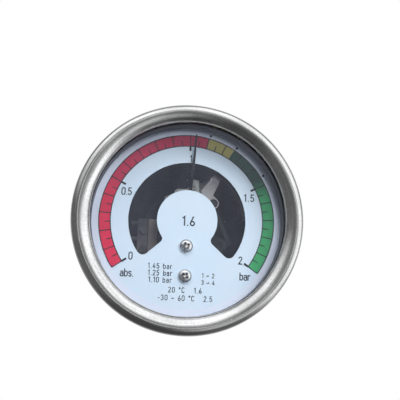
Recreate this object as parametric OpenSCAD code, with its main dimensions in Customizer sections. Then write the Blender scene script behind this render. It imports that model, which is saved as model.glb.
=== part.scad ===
// Gas density monitor, nominal size 100, with a rear thread and a rear cable box.
// Front view is the X-Z plane, the glass faces -Y, and the rear thread leaves along +Y.
// The origin is on the dial axis where the rear thread begins.
// Depths are counted backwards from the front face of the dial.

/* [Case] */
// Outer radius of the drawn case cup
case_r = 50; // [49.5:0.25:52]
// Sheet thickness of the case cup
case_wall = 1; // [0.8:0.1:1.5]
// Depth from the dial's front face to the outside of the back wall
case_depth = 46; // [45:0.5:52]
// Radius of the edge between side wall and back wall
case_corner = 4; // [2:0.5:8]
// Width of the flange that the ring is rolled over
flange_w = 2.2; // [1.8:0.1:3]

/* [Bezel ring] */
// Sheet thickness of the ring
ring_sheet = 0.8; // [0.6:0.1:0.9]
// Radial width of the ring's visible face
face_w = 8.5; // [8:0.1:9.5]
// Height of the ring's convex face above the lip
face_rise = 2.2; // [1.6:0.1:2.6]
// Radius of the ring's rolled outer edge, from its crest to its skirt
roll_r = 3.25; // [2.8:0.05:3.4]
// Air between the case flange and the ring's skirt
skirt_gap = 0.5; // [0.3:0.1:0.8]

/* [Window] */
// Thickness of the laminated window glass
glass_t = 4; // [3:0.5:5]
// Thickness of the seal between lip and glass
front_seal_t = 0.7; // [0.5:0.1:1]
// Height of the spacer between glass and dial
spacer_h = 6.2; // [5:0.1:8]

/* [Dial] */
// Thickness of the dial sheet
dial_t = 0.8; // [0.6:0.1:1]
// Dial left bare between the ring's opening and the coloured band
scale_inset = 3.1; // [2.6:0.1:3.6]
// Radial width of the coloured scale band
scale_w = 5.4; // [4:0.1:6]
// Angle that the whole scale sweeps
scale_sweep = 250; // [248:1:256]
// Outer radius of the C-shaped window in the dial
slot_r_out = 28.1; // [27:0.1:29]
// Radius of the disc left inside the C-shaped window
slot_r_in = 14.5; // [14:0.1:15]
// Angle from straight up to each end of the C-shaped window
slot_end = 132; // [130:0.5:134]
// Height of the upper dial screw below the axis
dial_screw_z1 = 12.5; // [12:0.1:13]
// Height of the lower dial screw below the axis
dial_screw_z2 = 26.6; // [26:0.1:27.5]

/* [Pointer] */
// Length of the pointer past the outer edge of the coloured band
pointer_over = 0.7; // [0.3:0.1:1.2]
// Width of the pointer beside its hub
pointer_w = 2.4; // [1.6:0.1:2.6]
// Width of the pointer at its tip
pointer_tip_w = 0.6; // [0.4:0.1:1]
// Thickness of the pointer sheet
pointer_t = 0.5; // [0.3:0.05:0.6]
// Scale value that the pointer rests at
reading = 1.03; // [1.02:0.005:1.04]

/* [Movement] */
// Tooth module of the sector gear and its pinion
tooth_module = 0.36; // [0.355:0.001:0.365]
// Teeth on the pinion
pinion_teeth = 12; // [12:1:12]
// Teeth on the full circle of the sector gear
sector_teeth = 98; // [98:1:98]
// Thickness of the two movement plates
plate_t = 1.2; // [1:0.1:1.5]
// Space between the two movement plates
plate_gap = 8.8; // [8.6:0.1:9.4]
// Depth of the movement's front plate behind the dial face
plate_d = 7; // [6.8:0.1:7.5]
// Distance from the sector's staff to the pin in its tail
tail_len = 5.5; // [5.2:0.1:6]

/* [Bourdon tube] */
// Radius of the tube's middle line
tube_r = 35; // [34.6:0.1:36.5]
// Radial thickness of the flattened tube
tube_t = 3; // [2.4:0.1:3.2]
// Width of the flattened tube along the gauge's axis
tube_w = 14; // [12:0.5:14.5]
// Wall thickness of the tube
tube_wall = 0.45; // [0.3:0.05:0.6]
// Air all round the tube's end inside its holder
tube_gap = 0.3; // [0.25:0.05:0.4]
// Thickness of the bimetal strip
bimetal_t = 1.2; // [1:0.1:1.4]

/* [Socket] */
// Radius over the rear pipe thread
thread_r = 10.48; // [10.4:0.02:10.56]
// Length of the rear pipe thread with its chamfer
thread_len = 20; // [16:0.5:24]
// Size across the spanner flats
flats_w = 22; // [21.5:0.5:24]
// Length of the spanner flats
flats_len = 14; // [12:0.5:16]
// Radius of the gas bore
gas_bore_r = 1.75; // [1.5:0.05:2]
// Radius of the flange that clamps the socket to the back wall
socket_flange_r = 21.5; // [21:0.25:22.5]

/* [Switches] */
// Length of a microswitch body
switch_l = 19.8; // [19:0.1:20]
// Height of a microswitch body from its back to its button face
switch_h = 10.2; // [9.8:0.1:10.4]
// Width of a microswitch body
switch_w = 6.4; // [6:0.1:6.5]

/* [Cable box] */
// Width of the cable box
box_w = 46; // [44:1:47]
// Height of the cable box
box_h = 32; // [31:0.5:32]
// Depth of the cable box without its cover
box_d = 26; // [25:0.5:30]
// Wall thickness of the cable box
box_wall = 2.5; // [2:0.25:3]
// Radius of the gland's thread
gland_r = 8; // [7.5:0.1:8.2]

/* [Hidden] */
$fn = 64;
eps = 0.01;

// Running clearance on radius for a pivot in its hole
run_gap = 0.05;
// Clearance on radius for a screw in its hole
screw_gap = 0.2;
// Air between neighbouring levels of the linkage
level_gap = 0.2;

// Case, ring and window levels, with depth counted backwards from the dial's face
case_in_r = case_r - case_wall;
flange_r = case_r + flange_w;
skirt_in_r = flange_r + skirt_gap;
ring_r = skirt_in_r + ring_sheet;
opening_r = ring_r - face_w;
dial_r = opening_r + 2;
back_in_d = case_depth - case_wall;
glass_back_d = -spacer_h;
glass_front_d = glass_back_d - glass_t;
lip_back_d = glass_front_d - front_seal_t;
lip_front_d = lip_back_d - ring_sheet;
flange_back_d = case_wall;
hem_gap = 0.3;
hem_front_d = flange_back_d + hem_gap;
hem_in_r = case_r + 0.6;
glass_r = flange_r - 0.2;
spacer_in_r = opening_r + 0.3;

// Socket levels behind the case
neck_r = 11;
neck_end_d = case_depth + 4;
flats_end_d = neck_end_d + flats_len;
relief_len = 3;
relief_r = thread_r - 1.73;
thread_d = flats_end_d + relief_len;
thread_chamfer = 1.5;
spigot_r = 3;
spigot_len = 3;

// Filling plug
plug_at = (case_r - 14) * [cos(222), sin(222)];
plug_r = 3;
plug_boss_r = 5.5;
plug_boss_t = 4;
plug_seal_t = 1;

// Scale
scale_max = 2;
scale_steps = 20;
red_end = 1.1;
yellow_end = 1.25;
print_t = 0.05;
line_w = 0.28;
bar_w = 0.9;
bar_len = 2.3;
dot_r = 0.45;
deg_per_bar = scale_sweep / scale_max;
rest_angle = (reading - scale_max / 2) * deg_per_bar;
scale_r = opening_r - scale_inset;
scale_in_r = scale_r - scale_w;
pointer_len = scale_r + pointer_over;

// Pointer hub
hub_neck_r = 1.5;
hub_r = 2.4;
hub_front_d = 1.3;

// Gear pair
pressure_angle = 20;
profile_shift = 0.3;
backlash = 0.05;
pinion_pr = tooth_module * pinion_teeth / 2;
sector_pr = tooth_module * sector_teeth / 2;
staff_dist = pinion_pr + sector_pr;
staff_angle = -33.7;
staff = staff_dist * [cos(staff_angle), sin(staff_angle)];
sector_cut_teeth = 12;
sector_rest = -rest_angle * pinion_teeth / sector_teeth;
tail_angle = 23.28;

// Movement levels
back_plate_d = plate_d + plate_t + plate_gap;
block_d = back_plate_d + plate_t;
arm_d = plate_d + plate_t + 0.8;
arm_t = 0.9;
link_d = arm_d + arm_t + level_gap;
link_t = 0.8;
sector_d = link_d + link_t + level_gap;
sector_t = 1.2;
collet_d = sector_d + sector_t + 1.3;
collet_t = 1.8;
arbor_r = 1.2;
front_pivot_r = 0.8;
back_pivot_r = 0.5;
staff_pivot_r = 0.7;
pillars = [[2.7, 17.2], [-11, -6], [7, -23]];
pillar_r = 1.5;
plate_screw_r = 0.7;
mount_screw_z = [-14, -21.5];
mount_screw_r = 1;
post_r = 2.6;
post_at = [-dial_screw_z1, -dial_screw_z2];
dial_screw_r = 1.5;
dial_screw_head_r = 3.2;
dial_screw_head_t = 1.8;

// Flat spiral spring
hairspring_turns = 4.6;
hairspring_half = 0.08;
hairspring_r0 = 2.5;
hairspring_pitch = 1.15;
hairspring_d = collet_d + 0.3;
hairspring_end = hairspring_r0 + hairspring_pitch * hairspring_turns;
hairspring_end_a = 150;
stud_r = 0.8;
stud_at = (hairspring_end + hairspring_half + stud_r) * [cos(hairspring_end_a), sin(hairspring_end_a)];

// Linkage
link_tenon_r = 0.7;
eye = [13.3, 10.3];
eye_pin_r = 1.2;
eye_gap = 0.4;
eye_ring_w = 1.1;
tail_pin_r = 0.6;
tail_at = staff + tail_len * [cos(tail_angle), sin(tail_angle)];

// Bourdon tube, with angles counted anticlockwise from +X in the front view
tube_d = block_d + 2.3;
tube_tip_a = 12;
tube_root_a = 250;
bimetal_r = tube_r - tube_t / 2 - 4.5;
bimetal_d = link_d;
arm_a = 58;
rear_arm_d = tube_d - 0.5;
rear_arm_t = 1;
bimetal_w = rear_arm_d - bimetal_d;
tab_r = bimetal_r - bimetal_t / 2 - 0.1;
tab_t = 1;
tab_half_a = 3;
rivet_r = 0.8;
rivet_ds = [bimetal_d + 2.6, bimetal_d + bimetal_w - 2.4];

// Socket body inside the case
bar_half_w = 6.5;
bar_top_z = 8;
bar_low_z = -tube_r - 3;
bar_end_d = 34;
boss_r = 9;
socket_flange_t = 5;
flange_d = back_in_d - socket_flange_t;
holder = [[-tube_r / 2 - 0.5, -tube_r - 5], [bar_half_w, 6 - tube_r]];
holder_d0 = tube_d - 1;
holder_d1 = tube_d + tube_w + 1.5;
gas_bore_end_d = 27;
socket_screw_pcr = 18;
socket_screw_r = 2;
socket_screw_at = [for (a = [30, 150, 270]) socket_screw_pcr * [cos(a), sin(a)]];
o_ring_r = 13.5;
o_ring_section_r = 0.95;

// Switches
switch_face_x = -13.7;
switch_low_z = -17.3;
switch_front_d = tube_d + 0.1;
switch_pair_gap = 0.3;
switch_ds = [switch_front_d, switch_front_d + switch_w + switch_pair_gap];
lever_pivot = [switch_face_x + 0.5, switch_low_z + 0.3];
lever_t = 0.3;
lever_tilt = 4.4;
lever_len = 17;
button_z = lever_pivot[1] + 5;
button_r = 0.8;
press_z = -2;
adjuster_r = 1;
leg = [[-11, -5], [-8.4, 14.4]];
leg_flange_t = 1;
bracket_d = switch_ds[1] + switch_w + 0.1;
bracket_t = 1.2;
switch_screw_r = 1.1;
switch_screw_at = [[-20.8, -13.3], [-20.8, -3.8]];
bracket_screw_r = 1;
bracket_screw_x = -11;
bracket_screw_z = [-10.5, -5.5];

// Cable box
box_x = [-box_w / 2 - 1, box_w / 2 - 1];
box_z0 = socket_flange_r - 6.5;
box_corner = 4;
cover_t = 3.5;
box_seal_t = 1;
feed_r = 6;
feed_at = [0, socket_flange_r + feed_r + 2.5];
feed_pin_at = [for (i = [0:4]) feed_at + 3.6 * [cos(i * 72 + 90), sin(i * 72 + 90)]];
box_screw_at = [[-15, box_z0 + 11], [13, box_z0 + 11]];
gland_z = box_z0 + box_h / 2;
gland_d = case_depth + 13;
cover_d = case_depth + box_d + box_seal_t;
cable_r = 4.2;
gland_seal_r = 6.4;
box_low = [box_x[0], box_z0];
box_high = [box_x[1], box_z0 + box_h];
cover_screw_inset = 4;
cover_screw_at = [for (x = [box_x[0] + cover_screw_inset, box_x[1] - cover_screw_inset],
  z = [box_z0 + cover_screw_inset, box_z0 + box_h - cover_screw_inset]) [x, z]];

// Turns a [radius, depth] profile about the dial axis, from front-view angle a0 through sweep
module turned(a0 = 0, sweep = 360) {
  translate([0, -thread_d, 0])
    rotate([-90, 0, 0])
      rotate([0, 0, -a0 - sweep])
        rotate_extrude(angle = sweep)
          children();
}

// Stands a front-view outline up as a plate whose front face is at depth d
module plate(d, t) {
  translate([0, d + t - thread_d, 0])
    rotate([90, 0, 0])
      linear_extrude(t)
        children();
}

// Round bar along the gauge's axis at front-view point at, between two depths
module rod(r, d0, d1, at = [0, 0], r2 = 0) {
  translate([at[0], d0 - thread_d, at[1]])
    rotate([-90, 0, 0])
      cylinder(r1 = r, r2 = r2 > 0 ? r2 : r, h = d1 - d0);
}

// Box between two front-view corners and two depths
module block(low, high, d0, d1) {
  translate([low[0], d0 - thread_d, low[1]])
    cube([high[0] - low[0], d1 - d0, high[1] - low[1]]);
}

// Flat strip with round ends between two front-view points
module strip(a, b, w) {
  run = b - a;
  translate(a)
    rotate(atan2(run[1], run[0]))
      translate([0, -w / 2])
        square([norm(run), w]);
  translate(a)
    circle(d = w);
  translate(b)
    circle(d = w);
}

// Part of a disc between angles a0 and a1, anticlockwise from +X
module wedge(r, a0, a1) {
  steps = ceil((a1 - a0) / 20);
  polygon(concat([[0, 0]], [for (i = [0:steps]) let(a = a0 + (a1 - a0) * i / steps) r * [cos(a), sin(a)]]));
}

// Part of a flat ring between angles a0 and a1
module band(r0, r1, a0, a1) {
  intersection() {
    difference() {
      circle(r = r1, $fn = 180);
      circle(r = r0, $fn = 180);
    }
    wedge(r1 * 1.1, a0, a1);
  }
}

// Points on an arc about c
function arc(c, r, a0, a1, n) = [for (i = [0:n]) let(a = a0 + (a1 - a0) * i / n) c + r * [cos(a), sin(a)]];

// Front-view angle of a scale value, anticlockwise from +X
function scale_a(v) = 90 - (v - scale_max / 2) * deg_per_bar;

// Pan head with a cross recess, its flat underside at depth d and its shank running back
module cross_screw(at, head_r, head_t, shank_r, d, shank_len) {
  recess_w = head_r * 0.28;
  recess_l = head_r * 1.1;
  difference() {
    union() {
      rod(head_r * 0.75, d - head_t, d - head_t * 0.6, at, head_r);
      rod(head_r, d - head_t * 0.6, d, at);
      rod(shank_r, d - eps, d + shank_len, at);
    }
    for (turn = [0, 1]) {
      w = turn == 0 ? recess_l : recess_w;
      h = turn == 0 ? recess_w : recess_l;
      block(at - [w / 2, h / 2], at + [w / 2, h / 2], d - head_t - eps, d - head_t * 0.35);
    }
  }
}

// Screw seen from behind: head outside at depth d, shank running forward
module rear_screw(at, head_r, head_t, shank_r, d, shank_len) {
  difference() {
    union() {
      rod(head_r, d, d + head_t, at);
      rod(shank_r, d - shank_len, d + eps, at);
    }
    rod(head_r * 0.5, d + head_t * 0.4, d + head_t + eps, at, $fn = 6);
  }
}

// Drawn stainless cup with a rim flange, and holes for the socket, feedthrough, screws and plug
module case_cup() {
  outer = case_r - case_corner;
  inner_r = case_corner - case_wall;
  bend_d = case_depth - case_corner;
  color("silver")
    difference() {
      union() {
        turned()
          polygon(concat([[flange_r, 0], [flange_r, flange_back_d], [case_r, flange_back_d]],
            arc([outer, bend_d], case_corner, 0, 90, 8), [[0, case_depth], [0, back_in_d]],
            arc([outer, bend_d], inner_r, 90, 0, 8), [[case_in_r, 0]]));
        rod(plug_boss_r, back_in_d - plug_boss_t, back_in_d + eps, plug_at);
      }
      rod(neck_r + screw_gap, back_in_d - 1, case_depth + 1);
      for (p = socket_screw_at)
        rod(socket_screw_r + screw_gap, back_in_d - 1, case_depth + 1, p);
      for (p = box_screw_at)
        rod(1.5 + screw_gap, back_in_d - 1, case_depth + 1, p);
      rod(feed_r + screw_gap, back_in_d - 1, case_depth + 1, feed_at);
      rod(plug_r + run_gap, back_in_d - plug_boss_t - 1, case_depth + 1, plug_at);
    }
}

// Rolled sheet ring: lip, crease, convex face, groove, rounded rim, skirt and hem behind the flange
module bezel_ring() {
  crease_r = opening_r + 0.95;
  crest_r = ring_r - roll_r;
  crest_d = lip_front_d - face_rise;
  roll_c = [crest_r, crest_d + roll_r];
  slope_w = crest_r - crease_r;
  slope_rise = face_rise - 0.45;
  slope_r = (slope_w * slope_w + slope_rise * slope_rise) / 2 / slope_rise;
  slope_c = [crest_r, crest_d + slope_r];
  slope_a = asin(slope_w / slope_r);
  inner_a = asin((slope_w - 0.7) / (slope_r - ring_sheet));
  color("gainsboro")
    turned()
      polygon(concat(
        [[opening_r, lip_back_d], [opening_r, lip_front_d + 0.3], [opening_r + 0.3, lip_front_d]],
        [[crease_r - 0.2, lip_front_d]],
        arc(slope_c, slope_r, 270 - slope_a, 270, 10),
        arc(roll_c, roll_r, 276, 360, 10),
        arc([ring_r - 1, hem_front_d + ring_sheet - 1], 1, 0, 90, 4),
        [[hem_in_r, hem_front_d + ring_sheet], [hem_in_r, hem_front_d], [skirt_in_r, hem_front_d]],
        arc(roll_c, roll_r - ring_sheet, 360, 276, 8),
        arc(slope_c, slope_r - ring_sheet, 270, 270 - inner_a, 8),
        [[crease_r + 0.6, lip_back_d]]));
}

// Flat rubber ring between the ring's lip and the glass
module front_seal() {
  color([0.12, 0.12, 0.13])
    turned()
      translate([opening_r + 0.9, lip_back_d])
        square([glass_r - opening_r - 0.9, front_seal_t]);
}

// Round pane of laminated glass
module window_glass() {
  color([0.8, 0.9, 0.95, 0.3])
    rod(glass_r, glass_front_d, glass_back_d, $fn = 180);
}

// Dark ring that holds the glass off the dial and presses the dial's rim
module spacer_ring() {
  color([0.16, 0.17, 0.19])
    turned()
      translate([spacer_in_r, glass_back_d])
        square([glass_r - spacer_in_r, spacer_h]);
}

// Screw plug that closes the filling hole in the back wall
module filling_plug() {
  head_d = case_depth + plug_seal_t;
  color("silver")
    rear_screw(plug_at, 5, 3, plug_r, head_d, plug_boss_t + plug_seal_t + case_wall - 0.5);
}

// Flat seal under the filling plug's head
module filling_plug_seal() {
  color([0.12, 0.12, 0.13])
    difference() {
      rod(4.6, case_depth, case_depth + plug_seal_t, plug_at);
      rod(plug_r + run_gap, case_depth - 1, case_depth + plug_seal_t + 1, plug_at);
    }
}

// Flattened oval of the tube's section as a [radius, depth] outline, grown by extra all round
module tube_section(extra = 0) {
  r = tube_t / 2 + extra;
  for (d = [tube_d + tube_t / 2, tube_d + tube_w - tube_t / 2])
    translate([tube_r, d])
      circle(r = r, $fn = 32);
  translate([tube_r - r, tube_d + tube_t / 2])
    square([2 * r, tube_w - tube_t]);
}

// Machined socket: bar with the tube holder, flange, neck, spanner flats, thread and gas bore
module socket() {
  thread_end_d = thread_d + thread_len;
  tip_d = thread_end_d + spigot_len;
  bore_foot = tube_r * [cos(tube_root_a + 2), sin(tube_root_a + 2)];
  bore_len = norm(bore_foot);
  color("darkkhaki")
    difference() {
      union() {
        block([-bar_half_w, bar_low_z], [bar_half_w, bar_top_z], block_d, bar_end_d);
        block(holder[0], holder[1], holder_d0, holder_d1);
        rod(boss_r, bar_end_d - eps, flange_d);
        rod(socket_flange_r, flange_d, back_in_d);
        rod(neck_r, back_in_d - eps, neck_end_d);
        rod(flats_w / 2 / cos(30), neck_end_d, flats_end_d, $fn = 6);
        rod(relief_r, flats_end_d - eps, thread_d);
        rod(thread_r, thread_d, thread_end_d - thread_chamfer);
        rod(thread_r, thread_end_d - thread_chamfer, thread_end_d, r2 = thread_r - thread_chamfer);
        rod(spigot_r, thread_end_d - eps, tip_d);
      }
      turned(tube_root_a - 18, 20)
        tube_section(tube_gap);
      rod(gas_bore_r, gas_bore_end_d, tip_d + 1);
      translate([bore_foot[0], gas_bore_end_d + gas_bore_r - thread_d, bore_foot[1]])
        rotate([0, atan2(-bore_foot[0], -bore_foot[1]), 0])
          cylinder(r = gas_bore_r, h = bore_len);
      turned()
        translate([o_ring_r - o_ring_section_r - 0.2, back_in_d - 2 * o_ring_section_r])
          square([2 * o_ring_section_r + 0.4, 2 * o_ring_section_r + 1]);
      for (p = socket_screw_at)
        rod(socket_screw_r + run_gap, flange_d + 0.8, back_in_d + 1, p);
      for (z = mount_screw_z)
        rod(mount_screw_r + run_gap, block_d - 1, block_d + 7, [0, z]);
      for (z = bracket_screw_z)
        rod(bracket_screw_r + run_gap, flange_d - 1, flange_d + 2.6, [bracket_screw_x, z]);
    }
}

// Rubber ring that seals the socket's flange against the back wall
module socket_seal() {
  color([0.12, 0.12, 0.13])
    turned()
      translate([o_ring_r, back_in_d - o_ring_section_r])
        circle(r = o_ring_section_r, $fn = 24);
}

// Three screws through the back wall into the socket's flange
module socket_screws() {
  color("silver")
    for (p = socket_screw_at)
      rear_screw(p, 3.5, 2.4, socket_screw_r, case_depth, case_wall + 3.8);
}

// Outline of the C-shaped window with its four rounded corners
module slot_outline() {
  outer_c = 3;
  inner_c = 2.2;
  start = 90 - slot_end;
  stop = 90 + slot_end;
  outer_a = asin(outer_c / (slot_r_out - outer_c));
  inner_a = asin(inner_c / (slot_r_in + inner_c));
  band(slot_r_in + inner_c, slot_r_out - outer_c, start, stop);
  band(slot_r_out - outer_c - eps, slot_r_out, start + outer_a, stop - outer_a);
  band(slot_r_in, slot_r_in + inner_c + eps, start + inner_a, stop - inner_a);
  for (side = [-1, 1]) {
    corner_out = 90 + side * (slot_end - outer_a);
    corner_in = 90 + side * (slot_end - inner_a);
    translate((slot_r_out - outer_c) * [cos(corner_out), sin(corner_out)])
      circle(r = outer_c);
    translate((slot_r_in + inner_c) * [cos(corner_in), sin(corner_in)])
      circle(r = inner_c);
  }
}

// White aluminium dial with the C-shaped window and two screw holes
module dial() {
  color([0.87, 0.92, 0.97])
    plate(0, dial_t)
      difference() {
        circle(r = dial_r, $fn = 180);
        slot_outline();
        for (z = post_at)
          translate([0, z])
            circle(r = dial_screw_r + screw_gap);
      }
}

// Two posts that stand on the movement's front plate and carry the dial
module dial_posts() {
  color("silver")
    for (z = post_at)
      difference() {
        rod(post_r, dial_t, plate_d, [0, z]);
        rod(dial_screw_r + run_gap, dial_t - 1, plate_d - 0.8, [0, z]);
      }
}

// Two pan-head screws that hold the dial
module dial_screws() {
  color("gainsboro")
    for (z = post_at)
      cross_screw([0, z], dial_screw_head_r, dial_screw_head_t, dial_screw_r, 0, plate_d - 1.3);
}

// One coloured zone of the scale between two scale values
module colour_field(v0, v1) {
  plate(-print_t, print_t)
    band(scale_in_r, scale_r, scale_a(v1), scale_a(v0));
}

// Red zone of the scale
module print_red_field() {
  color([0.85, 0.2, 0.3])
    colour_field(0, red_end);
}

// Yellow zone of the scale
module print_yellow_field() {
  color([0.93, 0.88, 0.35])
    colour_field(red_end, yellow_end);
}

// Green zone of the scale
module print_green_field() {
  color([0.1, 0.6, 0.35])
    colour_field(yellow_end, scale_max);
}

// Radial printed line at a scale value
module mark(v, r0, r1, w) {
  rotate(scale_a(v))
    translate([r0, -w / 2])
      square([r1 - r0, w]);
}

// Black scale lines, heavy bars at each half and dots at the switching values
module print_scale_marks() {
  step = scale_max / scale_steps;
  half_line = line_w / 2;
  color([0.1, 0.1, 0.12])
    plate(-2 * print_t, print_t) {
      for (r = [scale_in_r, scale_r])
        band(r - half_line, r + half_line, scale_a(scale_max), scale_a(0));
      for (i = [0:scale_steps])
        mark(i * step, scale_in_r, scale_r, line_w);
      for (i = [0:scale_steps - 1])
        mark((i + 0.5) * step, scale_in_r, scale_r - scale_w / 2, line_w);
      for (v = [0:0.5:scale_max])
        mark(v, scale_in_r - bar_len, scale_in_r, bar_w);
      for (v = [1.1, 1.25, 1.45])
        rotate(scale_a(v))
          translate([scale_r + 1.1, 0])
            circle(r = dot_r, $fn = 24);
    }
}

// Pointer blade: it leaves its hub behind the dial, rises through the window and runs over the scale
module pointer() {
  low_d = dial_t + 1.4;
  high_d = -1.5 - pointer_t;
  crank0 = slot_r_in + 2.5;
  crank1 = crank0 + 4;
  half_w = pointer_w / 2;
  half_tip = pointer_tip_w / 2;
  color([0.08, 0.08, 0.09])
    rotate([0, rest_angle, 0])
      intersection() {
        translate([half_w + 4, -thread_d, 0])
          rotate([0, -90, 0])
            linear_extrude(2 * half_w + 8)
              polygon([[-4, low_d], [crank0, low_d], [crank1, high_d], [pointer_len, high_d],
                [pointer_len, high_d + pointer_t], [crank1, high_d + pointer_t],
                [crank0, low_d + pointer_t], [-4, low_d + pointer_t]]);
        plate(-8, 16)
          difference() {
            union() {
              polygon([[half_w, 0], [half_tip, pointer_len - 0.5], [0, pointer_len],
                [-half_tip, pointer_len - 0.5], [-half_w, 0]]);
              circle(r = 3);
            }
            circle(r = hub_neck_r + run_gap);
          }
      }
}

// Turned hub that the pointer blade is riveted to
module pointer_hub() {
  blade_d = dial_t + 1.4;
  color("goldenrod")
    difference() {
      union() {
        rod(hub_neck_r, hub_front_d, blade_d + pointer_t + eps);
        rod(hub_r, blade_d + pointer_t, plate_d - 1.2);
      }
      rod(front_pivot_r, hub_front_d - 1, plate_d);
    }
}

// Shared outline of the two movement plates: centre disc with an arm to each pillar and to the staff
module movement_outline() {
  circle(r = 9.5);
  strip([0, 0], staff, 5.5);
  translate(staff)
    circle(r = 3.6);
  strip([0, 0], pillars[1], 5);
  strip([0, -8], pillars[2], 5);
}

// Holes that both movement plates have
module pillar_holes() {
  for (p = pillars)
    translate(p)
      circle(r = plate_screw_r + screw_gap, $fn = 24);
}

// Front plate with the upper lobe seen through the window and a tongue under the dial posts
module movement_front_plate() {
  color([0.5, 0.51, 0.52])
    difference() {
      plate(plate_d, plate_t)
        difference() {
          union() {
            movement_outline();
            polygon([[6.2, 8], [5.4, 21.1], [1.4, 21.6], [0.7, 16], [0.5, 8]]);
            polygon([[3, 8], [3, 16.4], [-5, 16.4], [-6.4, 15.4], [-6, 8]]);
            translate([-3.4, -30])
              square([6.8, 30]);
          }
          circle(r = front_pivot_r + run_gap);
          translate(staff)
            circle(r = staff_pivot_r + run_gap);
          pillar_holes();
        }
      rod(1.7, plate_d - eps, plate_d + plate_t * 0.4, staff, 1);
    }
}

// Back plate that is screwed to the socket's bar
module movement_back_plate() {
  color([0.5, 0.51, 0.52])
    plate(back_plate_d, plate_t)
      difference() {
        union() {
          movement_outline();
          strip([0, 0], pillars[0], 5);
          translate([-4, -25])
            square([8, 25]);
        }
        circle(r = back_pivot_r + run_gap);
        translate(staff)
          circle(r = staff_pivot_r + run_gap);
        for (z = mount_screw_z)
          translate([0, z])
            circle(r = mount_screw_r + screw_gap);
        translate([stud_at[0], stud_at[1]])
          circle(r = 0.7, $fn = 24);
        pillar_holes();
      }
}

// Three pillars that hold the two plates apart
module movement_pillars() {
  color("goldenrod")
    for (p = pillars)
      difference() {
        rod(pillar_r, plate_d + plate_t, back_plate_d, p);
        rod(plate_screw_r, plate_d, back_plate_d + 1, p);
      }
}

// Small screws at both ends of each pillar
module movement_plate_screws() {
  color("silver")
    for (p = pillars) {
      cross_screw(p, 1.4, 0.9, plate_screw_r, plate_d, plate_t + 2.5);
      rod(plate_screw_r, block_d - 3.2, block_d, p);
    }
}

// Two screws that hold the back plate to the socket's bar
module movement_mount_screws() {
  color("silver")
    for (z = mount_screw_z)
      cross_screw([0, z], 1.9, 1.3, mount_screw_r, back_plate_d, plate_t + 6);
}

// Involute of an angle, in degrees
function inv(a) = tan(a) * 180 / PI - a;

// Half the angle that a tooth takes up at radius r
function half_tooth(r, pr, thick) = thick / (2 * pr) * 180 / PI + inv(pressure_angle)
  - inv(acos(min(1, pr * cos(pressure_angle) / r)));

// One tooth that points along +X
module tooth(pr, root_r, tip_r, thick) {
  steps = 5;
  r0 = root_r - 0.15;
  side = [for (i = [0:steps]) let(r = r0 + (tip_r - r0) * i / steps) [r, half_tooth(r, pr, thick)]];
  polygon(concat([for (p = side) p[0] * [cos(p[1]), -sin(p[1])]],
    [for (i = [steps:-1:0]) side[i][0] * [cos(side[i][1]), sin(side[i][1])]]));
}

// Arbor with the pinion cut from it, in line with the pointer
module pinion_arbor() {
  thick = tooth_module * (PI / 2 + 2 * profile_shift * tan(pressure_angle)) - backlash;
  root_r = pinion_pr - (1.25 - profile_shift) * tooth_module;
  tip_r = pinion_pr + (1 + profile_shift) * tooth_module;
  color("gold")
    union() {
      plate(sector_d - 0.4, sector_t + 0.8) {
        circle(r = root_r);
        for (i = [0:pinion_teeth - 1])
          rotate(staff_angle - rest_angle + i * 360 / pinion_teeth)
            tooth(pinion_pr, root_r, tip_r, thick);
      }
      rod(front_pivot_r - run_gap / 2, hub_front_d + 0.2, plate_d + plate_t + 0.4);
      rod(arbor_r, plate_d + plate_t + 0.2, back_plate_d - 0.2);
      rod(back_pivot_r, back_plate_d - 0.3, back_plate_d + plate_t - 0.2);
    }
}

// Toothed sector with two spokes, its hub and the tail that the link pulls
module sector_gear() {
  thick = tooth_module * (PI / 2 - 2 * profile_shift * tan(pressure_angle)) - backlash;
  root_r = sector_pr - (1.25 + profile_shift) * tooth_module;
  tip_r = sector_pr + (1 - profile_shift) * tooth_module;
  pitch = 360 / sector_teeth;
  half_a = sector_cut_teeth / 2 * pitch;
  rim_w = 2.4;
  facing = staff_angle + 180 - sector_rest;
  color("goldenrod")
    plate(sector_d, sector_t)
      difference() {
        union() {
          translate(staff)
            rotate(facing) {
              band(root_r - rim_w, root_r, -half_a - 1, half_a + 1);
              for (i = [0:sector_cut_teeth - 1])
                rotate((i - sector_cut_teeth / 2 + 0.5) * pitch)
                  tooth(sector_pr, root_r, tip_r, thick);
              for (side = [-1, 1])
                rotate(side * (half_a - 3))
                  translate([0, -1])
                    square([root_r - 1, 2]);
              circle(r = 3.2);
            }
          strip(staff, tail_at, 2.8);
        }
        translate(staff)
          circle(r = arbor_r);
        translate(tail_at)
          circle(r = tail_pin_r);
      }
}

// Staff that the sector is fixed to
module sector_staff() {
  color("silver")
    union() {
      rod(staff_pivot_r, plate_d + 0.2, plate_d + plate_t + 0.4, staff);
      rod(arbor_r, plate_d + plate_t + 0.2, back_plate_d - 0.2, staff);
      rod(staff_pivot_r, back_plate_d - 0.4, back_plate_d + plate_t - 0.2, staff);
    }
}

// Pin riveted in the sector's tail, with a head that keeps the link on
module tail_pin() {
  color("silver")
    union() {
      rod(tail_pin_r, link_d - 0.1, sector_d + sector_t, tail_at);
      rod(1.1, link_d - 0.5, link_d - 0.1 + eps, tail_at);
    }
}

// Flat bronze spiral that takes up the play between the teeth
module hairspring() {
  steps = 110;
  start = hairspring_end_a - hairspring_turns * 360;
  function coil(k, side) = let(a = start + hairspring_turns * 360 * k / steps,
    r = hairspring_r0 + hairspring_pitch * hairspring_turns * k / steps + side) r * [cos(a), sin(a)];
  color("peru")
    plate(hairspring_d, 1.2)
      polygon(concat([for (k = [0:steps]) coil(k, hairspring_half)],
        [for (k = [steps:-1:0]) coil(k, -hairspring_half)]));
}

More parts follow.
